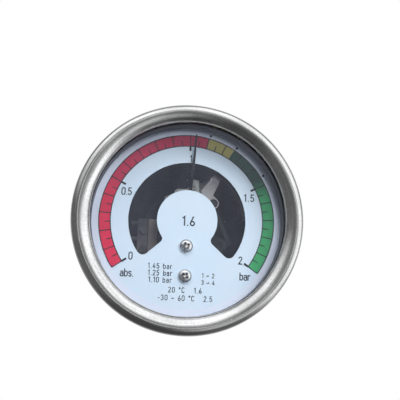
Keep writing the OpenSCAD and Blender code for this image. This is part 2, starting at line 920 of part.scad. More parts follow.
// Split brass collet that carries the spiral's inner end
module hairspring_collet() {
  color("goldenrod")
    difference() {
      rod(hairspring_r0 - 0.2, collet_d, collet_d + collet_t);
      rod(arbor_r, collet_d - 1, collet_d + collet_t + 1);
      block([0, -0.2], [4, 0.2], collet_d - 1, collet_d + collet_t + 1);
    }
}

// Stud on the back plate that holds the spiral's outer end
module hairspring_stud() {
  color("goldenrod")
    union() {
      rod(stud_r, hairspring_d - 0.4, back_plate_d, stud_at);
      rod(0.7, back_plate_d - eps, back_plate_d + plate_t, stud_at);
    }
}

// Flat link between the sector's tail and the compensator arm
module link() {
  color("silver")
    plate(link_d, link_t)
      difference() {
        union() {
          strip(tail_at, eye, 1.8);
          translate(tail_at)
            circle(r = 1.5);
          translate(eye)
            circle(r = 1.9);
        }
        translate(tail_at)
          circle(r = tail_pin_r + run_gap);
        translate(eye)
          circle(r = link_tenon_r);
      }
}

// Shouldered pin riveted in the link, which runs in the arm's eye
module link_shoulder_pin() {
  color("silver")
    union() {
      rod(link_tenon_r, link_d - eps, link_d + link_t, eye);
      rod(eye_pin_r, arm_d - level_gap, link_d, eye);
      rod(2, arm_d - level_gap - 0.4, arm_d - level_gap + eps, eye);
    }
}

// Flattened C-shaped tube from its holder clockwise round to its tip
module bourdon_tube() {
  color("peru")
    turned(tube_tip_a, tube_root_a - tube_tip_a)
      difference() {
        tube_section();
        tube_section(-tube_wall);
      }
}

// End piece that closes the tube and carries the bimetal strip on a forward lug
module tube_tip() {
  lug_r = bimetal_r + bimetal_t / 2;
  outer_r = tube_r + tube_t / 2 + 1;
  inner_r = tube_r - tube_t / 2 - 1;
  color("goldenrod")
    difference() {
      union() {
        turned(tube_tip_a - 7, 9.5)
          translate([inner_r, tube_d - 1])
            square([outer_r - inner_r, tube_w + 2]);
        turned(tube_tip_a - 7, 8)
          translate([lug_r, bimetal_d])
            square([inner_r + 1.5 - lug_r, bimetal_w - 0.4]);
        turned(tube_tip_a - 7, 8)
          translate([inner_r - eps, bimetal_d])
            square([3, tube_d - bimetal_d]);
      }
      turned(tube_tip_a, 4)
        tube_section(0.02);
      for (d = rivet_ds)
        radial_rod(tube_tip_a - 3, lug_r - 1, lug_r + 3, d, rivet_r);
    }
}

// Round bar along a radius at front-view angle a
module radial_rod(a, r0, r1, d, r) {
  translate([r0 * cos(a), d - thread_d, r0 * sin(a)])
    rotate([0, 90 - a, 0])
      cylinder(r = r, h = r1 - r0, $fn = 32);
}

// Curved two-metal strip that corrects the reading for temperature
module bimetal_strip() {
  color([0.62, 0.6, 0.58])
    difference() {
      turned(tube_tip_a - 7, arm_a + tab_half_a - tube_tip_a + 7)
        translate([bimetal_r - bimetal_t / 2, bimetal_d])
          square([bimetal_t, bimetal_w]);
      for (d = rivet_ds, a = [tube_tip_a - 3, arm_a])
        radial_rod(a, bimetal_r - 3, bimetal_r + 3, d, rivet_r);
    }
}

// Four rivets: two at the tube's end piece and one for each arm
module bimetal_rivets() {
  head_t = 0.7;
  strip_r = bimetal_r - bimetal_t / 2 - 0.045;
  arm_r = tab_r - tab_t - 0.045;
  color("silver")
    for (d = rivet_ds) {
      radial_rod(tube_tip_a - 3, strip_r - eps, bimetal_r + bimetal_t / 2 + 2.9, d, rivet_r);
      radial_rod(tube_tip_a - 3, strip_r - head_t, strip_r, d, 1.5);
      radial_rod(arm_a, arm_r - eps, bimetal_r + bimetal_t / 2 + eps, d, rivet_r);
      radial_rod(arm_a, arm_r - head_t, arm_r, d, 1.5);
      radial_rod(arm_a, bimetal_r + bimetal_t / 2, bimetal_r + bimetal_t / 2 + head_t, d, 1.5);
    }
}

// Tab of an arm, folded back along the inside of the bimetal strip
module arm_tab(d0, d1, hole_d) {
  difference() {
    turned(arm_a - tab_half_a, 2 * tab_half_a)
      translate([tab_r - tab_t, d0])
        square([tab_t, d1 - d0]);
    radial_rod(arm_a, tab_r - tab_t - 1, tab_r + 1, hole_d, rivet_r);
  }
}

// Bent sheet arm from the bimetal strip to the link, with the hook-shaped eye that the pin runs in
module compensator_arm() {
  eye_r = eye_pin_r + eye_gap;
  color([0.55, 0.54, 0.54])
    union() {
      plate(arm_d, arm_t)
        difference() {
          union() {
            polygon(concat([for (a = [-4.2, 4.5]) (tab_r + 0.3) * [cos(arm_a + a), sin(arm_a + a)]],
              [[7, 16.4], [6.9, 11.5], [11, 8.4], [15, 12.4], [12.9, 14.4]]));
            translate(eye)
              circle(r = eye_r + eye_ring_w);
          }
          translate(eye)
            circle(r = eye_r);
        }
      arm_tab(arm_d + arm_t - eps, rivet_ds[0] + 1.8, rivet_ds[0]);
    }
}

// Bent sheet arm from the bimetal strip round to the microswitches, with a flange for the screws
module switch_arm() {
  flange_end_d = switch_ds[1] + switch_w - 0.4;
  color([0.5, 0.5, 0.51])
    difference() {
      union() {
        plate(rear_arm_d, rear_arm_t) {
          polygon([(tab_r - 1.8) * [cos(arm_a - 4), sin(arm_a - 4)], (tab_r + 0.3) * [cos(arm_a + 4),
            sin(arm_a + 4)], [leg[0][0], leg[1][1]], [leg[0][0], 10.8], [-4, 11]]);
          translate(leg[0])
            square(leg[1] - leg[0]);
        }
        block(leg[0], [leg[0][0] + leg_flange_t, 6], rear_arm_d, flange_end_d);
        arm_tab(rivet_ds[1] - 1.8, rear_arm_d + eps, rivet_ds[1]);
      }
      for (d = switch_ds)
        along_x(leg[0][0] - 1, leg[0][0] + leg_flange_t + 1, d + switch_w / 2, press_z, adjuster_r);
    }
}

// Round bar along X at a depth and height
module along_x(x0, x1, d, z, r, n = 32) {
  translate([x0, d - thread_d, z])
    rotate([0, 90, 0])
      cylinder(r = r, h = x1 - x0, $fn = n);
}

// Two slotted screws in the arm's flange that press the switch levers
module adjusting_screws() {
  lever_x = lever_pivot[0] + tan(lever_tilt) * (press_z - lever_pivot[1]) + lever_t;
  head_x = leg[0][0] + leg_flange_t + 0.3;
  color("goldenrod")
    for (d = switch_ds)
      difference() {
        union() {
          along_x(lever_x + 0.12, head_x + eps, d + switch_w / 2, press_z, adjuster_r);
          along_x(head_x, head_x + 0.8, d + switch_w / 2, press_z, 1.6);
        }
        block([head_x + 0.4, press_z - 0.2], [head_x + 1, press_z + 0.2], d, d + switch_w);
      }
}

// Moulded microswitch body with screw holes, a parting groove and three terminals
module switch_body(d) {
  back_x = switch_face_x - switch_h;
  top_z = switch_low_z + switch_l;
  groove_x = switch_face_x - 4.6;
  color([0.2, 0.18, 0.17])
    difference() {
      union() {
        block([back_x, switch_low_z], [switch_face_x, top_z], d, d + switch_w);
        for (z = [switch_low_z + 2, switch_low_z + switch_l / 2, top_z - 2])
          block([back_x - 3.5, z - 0.9], [back_x + eps, z + 0.9], d + 2.9, d + 3.4);
      }
      block([groove_x, switch_low_z - 1], [groove_x + 0.5, top_z + 1], d - 1, d + 0.3);
      for (p = switch_screw_at)
        rod(switch_screw_r + screw_gap, d - 1, d + switch_w + 1, p);
      along_x(switch_face_x - 3, switch_face_x + 1, d + switch_w / 2, button_z, button_r + run_gap);
      block(lever_pivot - [1.4, 1.3], lever_pivot + [1, 1.3], d + 1, d + switch_w - 1);
    }
}

// Microswitch for the lower switching value
module switch_front() {
  switch_body(switch_ds[0]);
}

// Microswitch for the higher switching value
module switch_rear() {
  switch_body(switch_ds[1]);
}

// Sheet lever with a rolled knuckle at its lower end, standing off the switch's button
module switch_lever(d) {
  color("silver")
    translate([lever_pivot[0], 0, lever_pivot[1]])
      rotate([0, lever_tilt, 0])
        union() {
          block([0, 0], [lever_t, lever_len], d + 1.4, d + switch_w - 1.4);
          rod(0.55, d + 1.2, d + switch_w - 1.2, $fn = 32);
        }
}

// Lever of the front microswitch
module switch_lever_front() {
  switch_lever(switch_ds[0]);
}

// Lever of the rear microswitch
module switch_lever_rear() {
  switch_lever(switch_ds[1]);
}

// Button between the lever and the switch's contacts
module switch_button(d) {
  lever_x = lever_pivot[0] + tan(lever_tilt) * (button_z - lever_pivot[1]);
  color([0.75, 0.2, 0.15])
    along_x(switch_face_x - 2.2, lever_x - 0.1, d + switch_w / 2, button_z, button_r);
}

// Button of the front microswitch
module switch_button_front() {
  switch_button(switch_ds[0]);
}

// Button of the rear microswitch
module switch_button_rear() {
  switch_button(switch_ds[1]);
}

// Bent bracket that carries both switches on the socket's flange
module switch_bracket() {
  foot_x = switch_face_x + 4.6;
  color([0.5, 0.5, 0.51])
    difference() {
      union() {
        block([switch_face_x - switch_h, switch_low_z], [switch_face_x + 1.2, 2.5],
          bracket_d, bracket_d + bracket_t);
        block([switch_face_x, -13.5], [switch_face_x + 1.2, -2.5], bracket_d, flange_d);
        block([switch_face_x, -13.5], [foot_x, -2.5], flange_d - bracket_t, flange_d);
      }
      for (p = switch_screw_at)
        rod(switch_screw_r, bracket_d - 1, bracket_d + bracket_t + 1, p);
      for (z = bracket_screw_z)
        rod(bracket_screw_r + screw_gap, flange_d - bracket_t - 1, flange_d + 1, [bracket_screw_x, z]);
    }
}

// Two long screws through both switches into the bracket
module switch_screws() {
  color("silver")
    for (p = switch_screw_at)
      cross_screw(p, 2, 1.3, switch_screw_r, switch_ds[0], bracket_d + bracket_t - switch_ds[0]);
}

// Two screws that hold the bracket's foot
module bracket_screws() {
  color("silver")
    for (z = bracket_screw_z)
      cross_screw([bracket_screw_x, z], 1.45, 1.2, bracket_screw_r, flange_d - bracket_t, bracket_t + 2.2);
}

// Sealed insulating body that carries the contact pins through the back wall
module feedthrough() {
  color([0.15, 0.16, 0.2])
    difference() {
      union() {
        rod(feed_r + 1.5, back_in_d - 2, back_in_d, feed_at);
        rod(feed_r, back_in_d - eps, case_depth + 3, feed_at);
      }
      for (p = feed_pin_at)
        rod(0.6, back_in_d - 3, case_depth + 4, p, $fn = 24);
    }
}

// Five contact pins of the feedthrough
module feedthrough_pins() {
  color("gold")
    for (p = feed_pin_at)
      rod(0.6, back_in_d - 6, case_depth + 8, p, $fn = 24);
}

// Rectangle with round corners in the front view
module rounded(low, high, r) {
  translate(low + [r, 0])
    square(high - low - [2 * r, 0]);
  translate(low + [0, r])
    square(high - low - [0, 2 * r]);
  for (x = [low[0] + r, high[0] - r], z = [low[1] + r, high[1] - r])
    translate([x, z])
      circle(r = r);
}

// Moulded box on the back wall, open behind, with a threaded hole for the gland
module cable_box() {
  inset = [box_wall, box_wall];
  color([0.12, 0.12, 0.13])
    difference() {
      union() {
        plate(case_depth, box_d)
          difference() {
            rounded(box_low, box_high, box_corner);
            rounded(box_low + inset, box_high - inset, box_corner - box_wall + 0.6);
          }
        plate(case_depth, box_wall)
          rounded(box_low, box_high, box_corner);
        for (p = cover_screw_at)
          rod(3, case_depth, case_depth + box_d, p);
      }
      rod(feed_r + 1, case_depth - 1, case_depth + box_wall + 1, feed_at);
      for (p = box_screw_at)
        rod(1.5 + screw_gap, case_depth - 1, case_depth + box_wall + 1, p);
      for (p = cover_screw_at)
        rod(1.3, case_depth + box_d - 10, case_depth + box_d + 1, p);
      along_x(box_high[0] - box_wall - 1, box_high[0] + 1, gland_d, gland_z, gland_r, 64);
    }
}

// Two screws from inside the box through the back wall, each with its nut inside the case
module box_screws() {
  color("silver")
    for (p = box_screw_at)
      difference() {
        union() {
          rod(2.6, case_depth + box_wall, case_depth + box_wall + 2, p);
          rod(1.5, back_in_d - 3, case_depth + box_wall + eps, p);
          rod(3.1, back_in_d - 2.2, back_in_d, p, $fn = 6);
        }
        block(p - [2.2, 0.3], p + [2.2, 0.3], case_depth + box_wall + 1.1, case_depth + box_wall + 3);
      }
}

// Flat seal between the box and its cover
module box_seal() {
  inset = [box_wall, box_wall];
  color([0.35, 0.36, 0.38])
    plate(case_depth + box_d, box_seal_t)
      difference() {
        union() {
          difference() {
            rounded(box_low, box_high, box_corner);
            rounded(box_low + inset, box_high - inset, box_corner - box_wall + 0.6);
          }
          for (p = cover_screw_at)
            translate(p)
              circle(r = 3);
        }
        for (p = cover_screw_at)
          translate(p)
            circle(r = 1.3 + screw_gap);
      }
}

// Cover with a raised middle panel
module box_cover() {
  inset = [6.5, 6.5];
  color([0.12, 0.12, 0.13])
    difference() {
      union() {
        plate(cover_d, cover_t)
          rounded(box_low, box_high, box_corner);
        plate(cover_d + cover_t - eps, 0.8)
          rounded(box_low + inset, box_high - inset, 2);
      }
      for (p = cover_screw_at) {
        rod(1.3 + screw_gap, cover_d - 1, cover_d + cover_t + 1, p);
        rod(2.7, cover_d + cover_t - 1.6, cover_d + cover_t + 1, p);
      }
    }
}

// Four cover screws sunk flush with the cover
module box_cover_screws() {
  head_d = cover_d + cover_t - 1.6;
  color("silver")
    for (p = cover_screw_at)
      difference() {
        union() {
          rod(2.5, head_d, head_d + 1.5, p);
          rod(1.3, case_depth + box_d - 8, head_d + eps, p);
        }
        block(p - [1.7, 0.3], p + [1.7, 0.3], head_d + 0.7, head_d + 2);
        block(p - [0.3, 1.7], p + [0.3, 1.7], head_d + 0.7, head_d + 2);
      }
}

// Terminal strip with five wire pockets, standing on the box's floor
module terminal_strip() {
  low = [-14, box_high[1] - 9.4];
  high = [12, box_high[1] - 2.8];
  pitch = 5.2;
  color([0.25, 0.35, 0.25])
    difference() {
      block(low, high, case_depth + box_wall, case_depth + box_wall + 10);
      for (i = [0:4]) {
        x = low[0] + pitch * (i + 0.5);
        rod(1.6, case_depth + box_wall + 4, case_depth + box_wall + 11, [x, low[1] + 4]);
        block([x - 1.2, low[1] - 1], [x + 1.2, low[1] + 2],
          case_depth + box_wall + 2, case_depth + box_wall + 5);
      }
    }
}

// Gland body: thread in the box wall, hexagon against the wall and front thread
module gland_body() {
  x = box_high[0];
  color([0.16, 0.16, 0.17])
    difference() {
      union() {
        along_x(x - box_wall - 2, x + eps, gland_d, gland_z, gland_r, 64);
        along_x(x, x + 5, gland_d, gland_z, 11, 6);
        along_x(x + 4.9, x + 12, gland_d, gland_z, gland_r - 0.6, 64);
      }
      along_x(x - box_wall - 3, x + 13, gland_d, gland_z, cable_r + 0.4, 64);
      along_x(x + 6, x + 13, gland_d, gland_z, gland_seal_r + run_gap, 64);
    }
}

// Rubber sleeve that grips the cable inside the gland
module gland_seal() {
  x = box_high[0];
  color([0.08, 0.08, 0.09])
    difference() {
      along_x(x + 6, x + 13.4, gland_d, gland_z, gland_seal_r, 64);
      along_x(x + 5, x + 15, gland_d, gland_z, cable_r, 64);
    }
}

// Dome nut that squeezes the sleeve
module gland_nut() {
  x = box_high[0];
  color([0.16, 0.16, 0.17])
    difference() {
      union() {
        along_x(x + 5.4, x + 13, gland_d, gland_z, 10.8, 6);
        translate([x + 13 - eps, gland_d - thread_d, gland_z])
          rotate([0, 90, 0])
            cylinder(r1 = 9.2, r2 = 6.8, h = 4.5);
      }
      along_x(x + 5, x + 13.6, gland_d, gland_z, gland_r - 0.6 + run_gap, 64);
      along_x(x + 13, x + 19, gland_d, gland_z, cable_r + 0.6, 64);
    }
}

case_cup();
bezel_ring();
front_seal();
window_glass();
spacer_ring();
filling_plug();
filling_plug_seal();
socket();
socket_seal();
socket_screws();
dial();
dial_posts();
dial_screws();
print_red_field();
print_yellow_field();
print_green_field();
print_scale_marks();
pointer();
pointer_hub();
movement_front_plate();
movement_back_plate();
movement_pillars();
movement_plate_screws();
movement_mount_screws();
pinion_arbor();
sector_gear();
sector_staff();
tail_pin();
hairspring();
hairspring_collet();
hairspring_stud();
link();
link_shoulder_pin();
bourdon_tube();
tube_tip();
bimetal_strip();
bimetal_rivets();
compensator_arm();
switch_arm();
adjusting_screws();
switch_front();
switch_rear();
switch_lever_front();
switch_lever_rear();
switch_button_front();
switch_button_rear();
switch_bracket();
switch_screws();
bracket_screws();
feedthrough();
feedthrough_pins();
cable_box();
box_screws();
box_seal();
box_cover();
box_cover_screws();
terminal_strip();
gland_body();
gland_nut();
gland_seal();
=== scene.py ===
import math

import bmesh
import bpy
from mathutils import Matrix, Vector


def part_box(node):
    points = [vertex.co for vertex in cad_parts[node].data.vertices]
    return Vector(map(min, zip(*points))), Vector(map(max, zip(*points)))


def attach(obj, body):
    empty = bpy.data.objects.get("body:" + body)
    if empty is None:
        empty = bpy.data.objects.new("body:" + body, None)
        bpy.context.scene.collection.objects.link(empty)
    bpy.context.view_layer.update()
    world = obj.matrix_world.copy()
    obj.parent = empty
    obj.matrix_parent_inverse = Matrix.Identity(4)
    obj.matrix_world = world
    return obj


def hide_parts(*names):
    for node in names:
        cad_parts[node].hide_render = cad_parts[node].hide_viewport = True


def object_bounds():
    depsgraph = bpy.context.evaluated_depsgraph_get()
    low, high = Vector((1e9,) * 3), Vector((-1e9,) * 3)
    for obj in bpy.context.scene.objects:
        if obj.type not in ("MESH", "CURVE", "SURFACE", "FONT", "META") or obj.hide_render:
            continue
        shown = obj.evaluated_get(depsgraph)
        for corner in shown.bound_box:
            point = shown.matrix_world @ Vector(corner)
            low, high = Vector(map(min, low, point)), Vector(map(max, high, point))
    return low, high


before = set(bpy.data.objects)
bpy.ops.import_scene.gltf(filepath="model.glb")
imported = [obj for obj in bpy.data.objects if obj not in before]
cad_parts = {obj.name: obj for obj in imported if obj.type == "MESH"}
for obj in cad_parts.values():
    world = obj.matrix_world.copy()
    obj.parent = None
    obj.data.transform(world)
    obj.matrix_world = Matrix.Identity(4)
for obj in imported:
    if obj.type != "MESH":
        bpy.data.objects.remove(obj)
cad_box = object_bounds()

# ---- Camera
# It stands a little below and to the left of the dial's axis and looks slightly up. Lens, tilt
# and place were fitted to the rims and the dial. The place is in metres along the camera's own
# axes, from the middle of the dial's front face.
dial_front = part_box("dial")[0].y
camera_tilt = (("X", -10.153), ("Y", 5.150), ("Z", -2.230))
camera_place = (0.00605, 0.00955, 0.26181)
camera_data = bpy.data.cameras.new("camera")
camera_data.sensor_width = 36
camera_data.lens = 49.24
camera_data.clip_start = 0.01
camera = bpy.data.objects.new("camera", camera_data)
bpy.context.scene.collection.objects.link(camera)
to_camera = Matrix.Identity(3)
for axis, degrees in camera_tilt:
    to_camera = to_camera @ Matrix.Rotation(math.radians(degrees), 3, axis)
face_to_world = Matrix(((1, 0, 0), (0, 0, -1), (0, 1, 0)))
camera.matrix_world = (
    Matrix.Translation((0, dial_front, 0))
    @ (face_to_world @ to_camera.transposed()).to_4x4()
    @ Matrix.Translation(camera_place)
)
bpy.context.scene.camera = camera
bpy.context.scene.view_settings.view_transform = "Standard"


# ---- Studio
# A pale floor below the part, three soft lamps in front of it, one behind, and an even world.
# Metal doesn't see the lamps. It sees a grey room, whose pale and dark patches were placed so
# that the bands on the ring fall where the photograph has them.
class Wire:
    """A socket in a finish's node tree. Sums, products and powers of wires add Math nodes."""

    def __init__(self, tree, socket=None):
        self.tree = tree
        self.socket = socket

    def node(self, kind, settings=None, values=None, out=0):
        """Adds a node: its settings first, then the values or wires of its sockets."""
        made = self.tree.nodes.new("ShaderNode" + kind)
        for key, setting in (settings or {}).items():
            setattr(made, key, setting)
        for key, value in (values or {}).items():
            if isinstance(value, Wire):
                self.tree.links.new(value.socket, made.inputs[key])
            elif isinstance(value, tuple) and len(value) == 3 and len(made.inputs[key].default_value) == 4:
                made.inputs[key].default_value = (*value, 1)
            else:
                made.inputs[key].default_value = value
        return Wire(self.tree, made.outputs[out] if len(made.outputs) else None)

    def math(self, operation, first, second=0.0):
        return self.node("Math", {"operation": operation}, {0: first, 1: second})

    def __add__(self, other):
        return self.math("ADD", self, other)

    def __sub__(self, other):
        return self.math("SUBTRACT", self, other)

    def __rsub__(self, other):
        return self.math("SUBTRACT", other, self)

    def __mul__(self, other):
        return self.math("MULTIPLY", self, other)

    def __truediv__(self, other):
        return self.math("DIVIDE", self, other)

    def __rtruediv__(self, other):
        return self.math("DIVIDE", other, self)

    def __pow__(self, other):
        return self.math("POWER", self, other)

    def __rpow__(self, other):
        return self.math("POWER", other, self)

    __radd__ = __add__
    __rmul__ = __mul__

    def least(self, other):
        return self.math("MINIMUM", self, other)

    def step(self, low, high, from_value=0.0, to_value=1.0):
        """Rises smoothly from one value to the other as this wire goes from low to high."""
        return self.node(
            "MapRange",
            {"interpolation_type": "SMOOTHSTEP"},
            {"Value": self, "From Min": low, "From Max": high, "To Min": from_value, "To Max": to_value},
        )

    def blend(self, first, second):
        """The first colour where this wire is 0 and the second where it is 1."""
        return self.node("Mix", {"data_type": "RGBA"}, {0: self, 6: first, 7: second}, out=2)

    def cover(self, first, second):
        """The first shader where this wire is 0 and the second where it is 1."""
        return self.node("MixShader", values={0: self, 1: first, 2: second})

    def parts(self):
        """The x, y and z of this point."""
        split = self.node("SeparateXYZ", values={0: self})
        outputs = split.socket.node.outputs
        return [Wire(self.tree, outputs[i]) for i in range(3)]

    def stretched(self, by):
        """This point times a vector, for noise that is drawn out along one axis."""
        return self.node("VectorMath", {"operation": "MULTIPLY"}, {0: self, 1: by})

    def noise(self, scale, detail=2.0, roughness=0.5):
        """Noise of this point, with scale in cells a metre."""
        values = {"Vector": self, "Scale": scale, "Detail": detail, "Roughness": roughness}
        return self.node("TexNoise", values=values)


def finish(name, make):
    """A material with the shader that make returns for the point on the piece, in metres."""
    material = bpy.data.materials.new(name)
    material.use_nodes = True
    material.node_tree.nodes.clear()
    here = Wire(material.node_tree).node("TexCoord", out="Object")
    here.node("OutputMaterial", values={"Surface": make(here)})
    return material


def in_scene(name, data):
    """An object in the scene, of a mesh or a lamp."""
    made = bpy.data.objects.new(name, data)
    bpy.context.scene.collection.objects.link(made)
    return made


def piece(name, points, faces):
    """A mesh object in the scene, its points in metres in the part's frame."""
    mesh = bpy.data.meshes.new(name)
    mesh.from_pydata(points, [], faces)
    mesh.validate()
    return in_scene(name, mesh)


def shown_rays(wire):
    """1 for the rays that the camera sends out, straight, off a gloss or through the pane."""
    straight = wire.node("LightPath", out="Is Camera Ray")
    outputs = straight.socket.node.outputs
    glossy, through = (Wire(wire.tree, outputs[kind]) for kind in ("Is Glossy Ray", "Is Transmission Ray"))
    return (straight + glossy + through).least(1.0)


floor_drop = 0.09
floor_r = 1.6
floor_sides = 96
floor_z = cad_box[0][2] - floor_drop
white_from, white_at = 0.10, 0.24
floor_turns = [k * math.tau / floor_sides for k in range(floor_sides)]
floor_rim = [(floor_r * math.cos(a), floor_r * math.sin(a), floor_z) for a in floor_turns]
floor = piece("floor", floor_rim, [tuple(range(floor_sides))])


def floor_paint(here):
    """Pale and matt near the part, where its shadow falls, and plain white further off."""
    x, y, z = here.parts()
    far = ((x * x + y * y) ** 0.5).step(white_from, white_at)
    speckle = here.noise(900, 3).step(0.3, 0.7).blend((0.63, 0.63, 0.63), (0.66, 0.66, 0.66))
    plain = here.node("BsdfDiffuse", values={"Color": speckle})
    white = here.node("Emission", values={"Color": (1, 1, 1), "Strength": 1.0})
    return (far * shown_rays(here)).cover(plain, white)


floor.data.materials.append(finish("floor_paint", floor_paint))
floor.visible_glossy = False
floor.visible_diffuse = False

fill_level = 0.05
world = bpy.data.worlds.new("world")
bpy.context.scene.world = world
world.use_nodes = True
world.node_tree.nodes.clear()
sky = Wire(world.node_tree)
shown = shown_rays(sky)
sky_light = {
    "Color": shown.blend((0.84, 0.93, 1.0), (1.0, 1.0, 1.0)),
    "Strength": shown * (1 - fill_level) + fill_level,
}
sky.node("OutputWorld", values={"Surface": sky.node("Background", values=sky_light)})

lamp_away = 2.5


def lamp(name, toward, size, energy, colour):
    """A soft round lamp that lights the part from a direction and isn't seen in its metal."""
    data = bpy.data.lights.new(name, "AREA")
    data.shape = "DISK"
    data.size = size
    data.energy = energy
    data.color = colour
    made = in_scene(name, data)
    made.location = Vector((0, dial_front / 2, 0)) + toward * lamp_away
    made.rotation_euler = toward.to_track_quat("Z", "Y").to_euler()
    made.visible_glossy = False
    made.visible_camera = False


# A front lamp stands at an angle in the front view, anticlockwise from +X, and off the dial's
# axis. One is near the camera, one at the right and one above; the last lamp lights the back.
day_white = (0.985, 0.992, 1.0)
for name, turn, off, size, energy in (
    ("near_lamp", 50, 10, 0.53, 21.5), ("right_lamp", 48, 50, 1.3, 50), ("top_lamp", 100, 60, 1.25, 45),
):
    turn, off = math.radians(turn), math.radians(off)
    toward = Vector((math.sin(off) * math.cos(turn), -math.cos(off), math.sin(off) * math.sin(turn)))
    lamp(name, toward, size, energy, day_white)
lamp("rear_lamp", Vector((-0.55, 0.75, 0.55)).normalized(), 0.8, 56, (1.0, 1.0, 1.0))

room_r = 3.0
bpy.ops.mesh.primitive_uv_sphere_add(segments=64, ring_count=32, radius=room_r, location=(0, 0, 0))
room = bpy.context.object
room.name = "grey_room"
room.visible_camera = False
room.visible_diffuse = False
room.visible_shadow = False
room.visible_transmission = False
room.visible_volume_scatter = False


def room_paint(here):
    """A grey room with a wide window at the upper right of the dial, a pale wall at the lower
    right, a dim corner below and a brighter rear."""
    x, y, z = here.node("VectorMath", {"operation": "NORMALIZE"}, {0: here}).parts()
    across = (x * x + z * z) ** 0.5
    off_axis = here.node("Math", {"operation": "ARCCOSINE"}, {0: y * -1})

    def side(turn):
        """1 towards that angle in the front view and -1 on the other side."""
        return (x * math.cos(math.radians(turn)) + z * math.sin(math.radians(turn))) / (across + 0.001)

    def sector(turn, outer, inner):
        """1 within inner degrees of that angle, fading to 0 at outer degrees."""
        return side(turn).step(math.cos(math.radians(outer)), math.cos(math.radians(inner)))

    def belt(start, end, angle=off_axis):
        """Rises from 0 to 1 between two angles off the dial's axis, in degrees."""
        return angle.step(math.radians(start), math.radians(end))

    slanted_sill = off_axis - (1 - side(58)) * math.radians(27)
    near_pane = sector(47, 100, 58) * belt(13, 30, slanted_sill)
    far_pane = sector(60, 110, 72) * belt(18, 50)
    slanted_head = off_axis + side(75).step(0.2, 0.9) * math.radians(10)
    window = here.math("MAXIMUM", near_pane, far_pane) * belt(100, 78, slanted_head)
    wall = sector(-52, 42, 14) * belt(6, 18) * belt(52, 36)
    corner = sector(-105, 48, 15)
    lit_side = (side(40) * across).step(-0.10, 0.22)
    rear = y.step(0.15, 0.7)
    level = 0.155 - corner * 0.07 + lit_side * 0.20 + rear * 0.42 + wall * 0.42 + window * 1.15
    shine = here.node("VectorMath", {"operation": "SCALE"}, {0: (0.985, 0.99, 1.0), "Scale": level})
    return here.node("Emission", values={"Color": shine, "Strength": 1.0})


room.data.materials.append(finish("room_paint", room_paint))


# ---- Bezel ring
# A ring spun from polished stainless sheet and rolled over the case's flange.
# Its face slopes in towards the window and carries fine turning lines from the polishing mop.
MM = 0.001


def arc(centre, radius, start, end, steps):
    """Points on an arc, with its angles in degrees."""
    turns = [math.radians(start + (end - start) * i / steps) for i in range(steps + 1)]
    return [(centre[0] + radius * math.cos(a), centre[1] + radius * math.sin(a)) for a in turns]


def eased(profile, size):
    """A closed profile with its corners rounded off."""
    out = []
    count = len(profile)
    for i, corner in enumerate(profile):
        here, before, after = Vector(corner), Vector(profile[i - 1]), Vector(profile[(i + 1) % count])
        back, on = before - here, after - here
        if back.length < 1e-9 or on.length < 1e-9 or (-back).angle(on) < math.radians(20):
            out.append(tuple(corner))
            continue
        reach = min(size, back.length / 2.2, on.length / 2.2)
        start, end = here + back.normalized() * reach, here + on.normalized() * reach
        for t in (0, 0.25, 0.5, 0.75, 1):
            out.append(tuple(start * (1 - t) ** 2 + here * 2 * t * (1 - t) + end * t * t))
    return out


def settle(made, crease):
    """Joins doubled points, turns the faces outward and shades all but the sharp edges smooth."""
    shape = bmesh.new()
    shape.from_mesh(made.data)
    bmesh.ops.remove_doubles(shape, verts=shape.verts, dist=1e-7)
    bmesh.ops.dissolve_degenerate(shape, edges=shape.edges, dist=1e-7)
    bmesh.ops.recalc_face_normals(shape, faces=shape.faces)
    shape.to_mesh(made.data)
    shape.free()
    made.data.polygons.foreach_set("use_smooth", [True] * len(made.data.polygons))
    made.data.set_sharp_from_angle(angle=math.radians(crease))


def spun(name, profile, steps):
    """A ring spun about the dial's axis, from a closed profile of radius and depth in mm."""
    count = len(profile)
    points, faces = [], []
    for i in range(steps):
        a = i * math.tau / steps
        for radius, depth in profile:
            points.append((radius * math.cos(a) * MM, dial_front + depth * MM, radius * math.sin(a) * MM))
    for i in range(steps):
        j = (i + 1) % steps
        for k in range(count):
            m = (k + 1) % count
            faces.append((i * count + k, i * count + m, j * count + m, j * count + k))
    return piece(name, points, faces)


def place(made, body, slot_name, material, *stands_for):
    """Gives a piece its finish and the body that it rides on. Its slot_name is not used."""
    made.data.materials.clear()
    made.data.materials.append(material)
    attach(made, body)
    if stands_for:
        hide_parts(*stands_for)


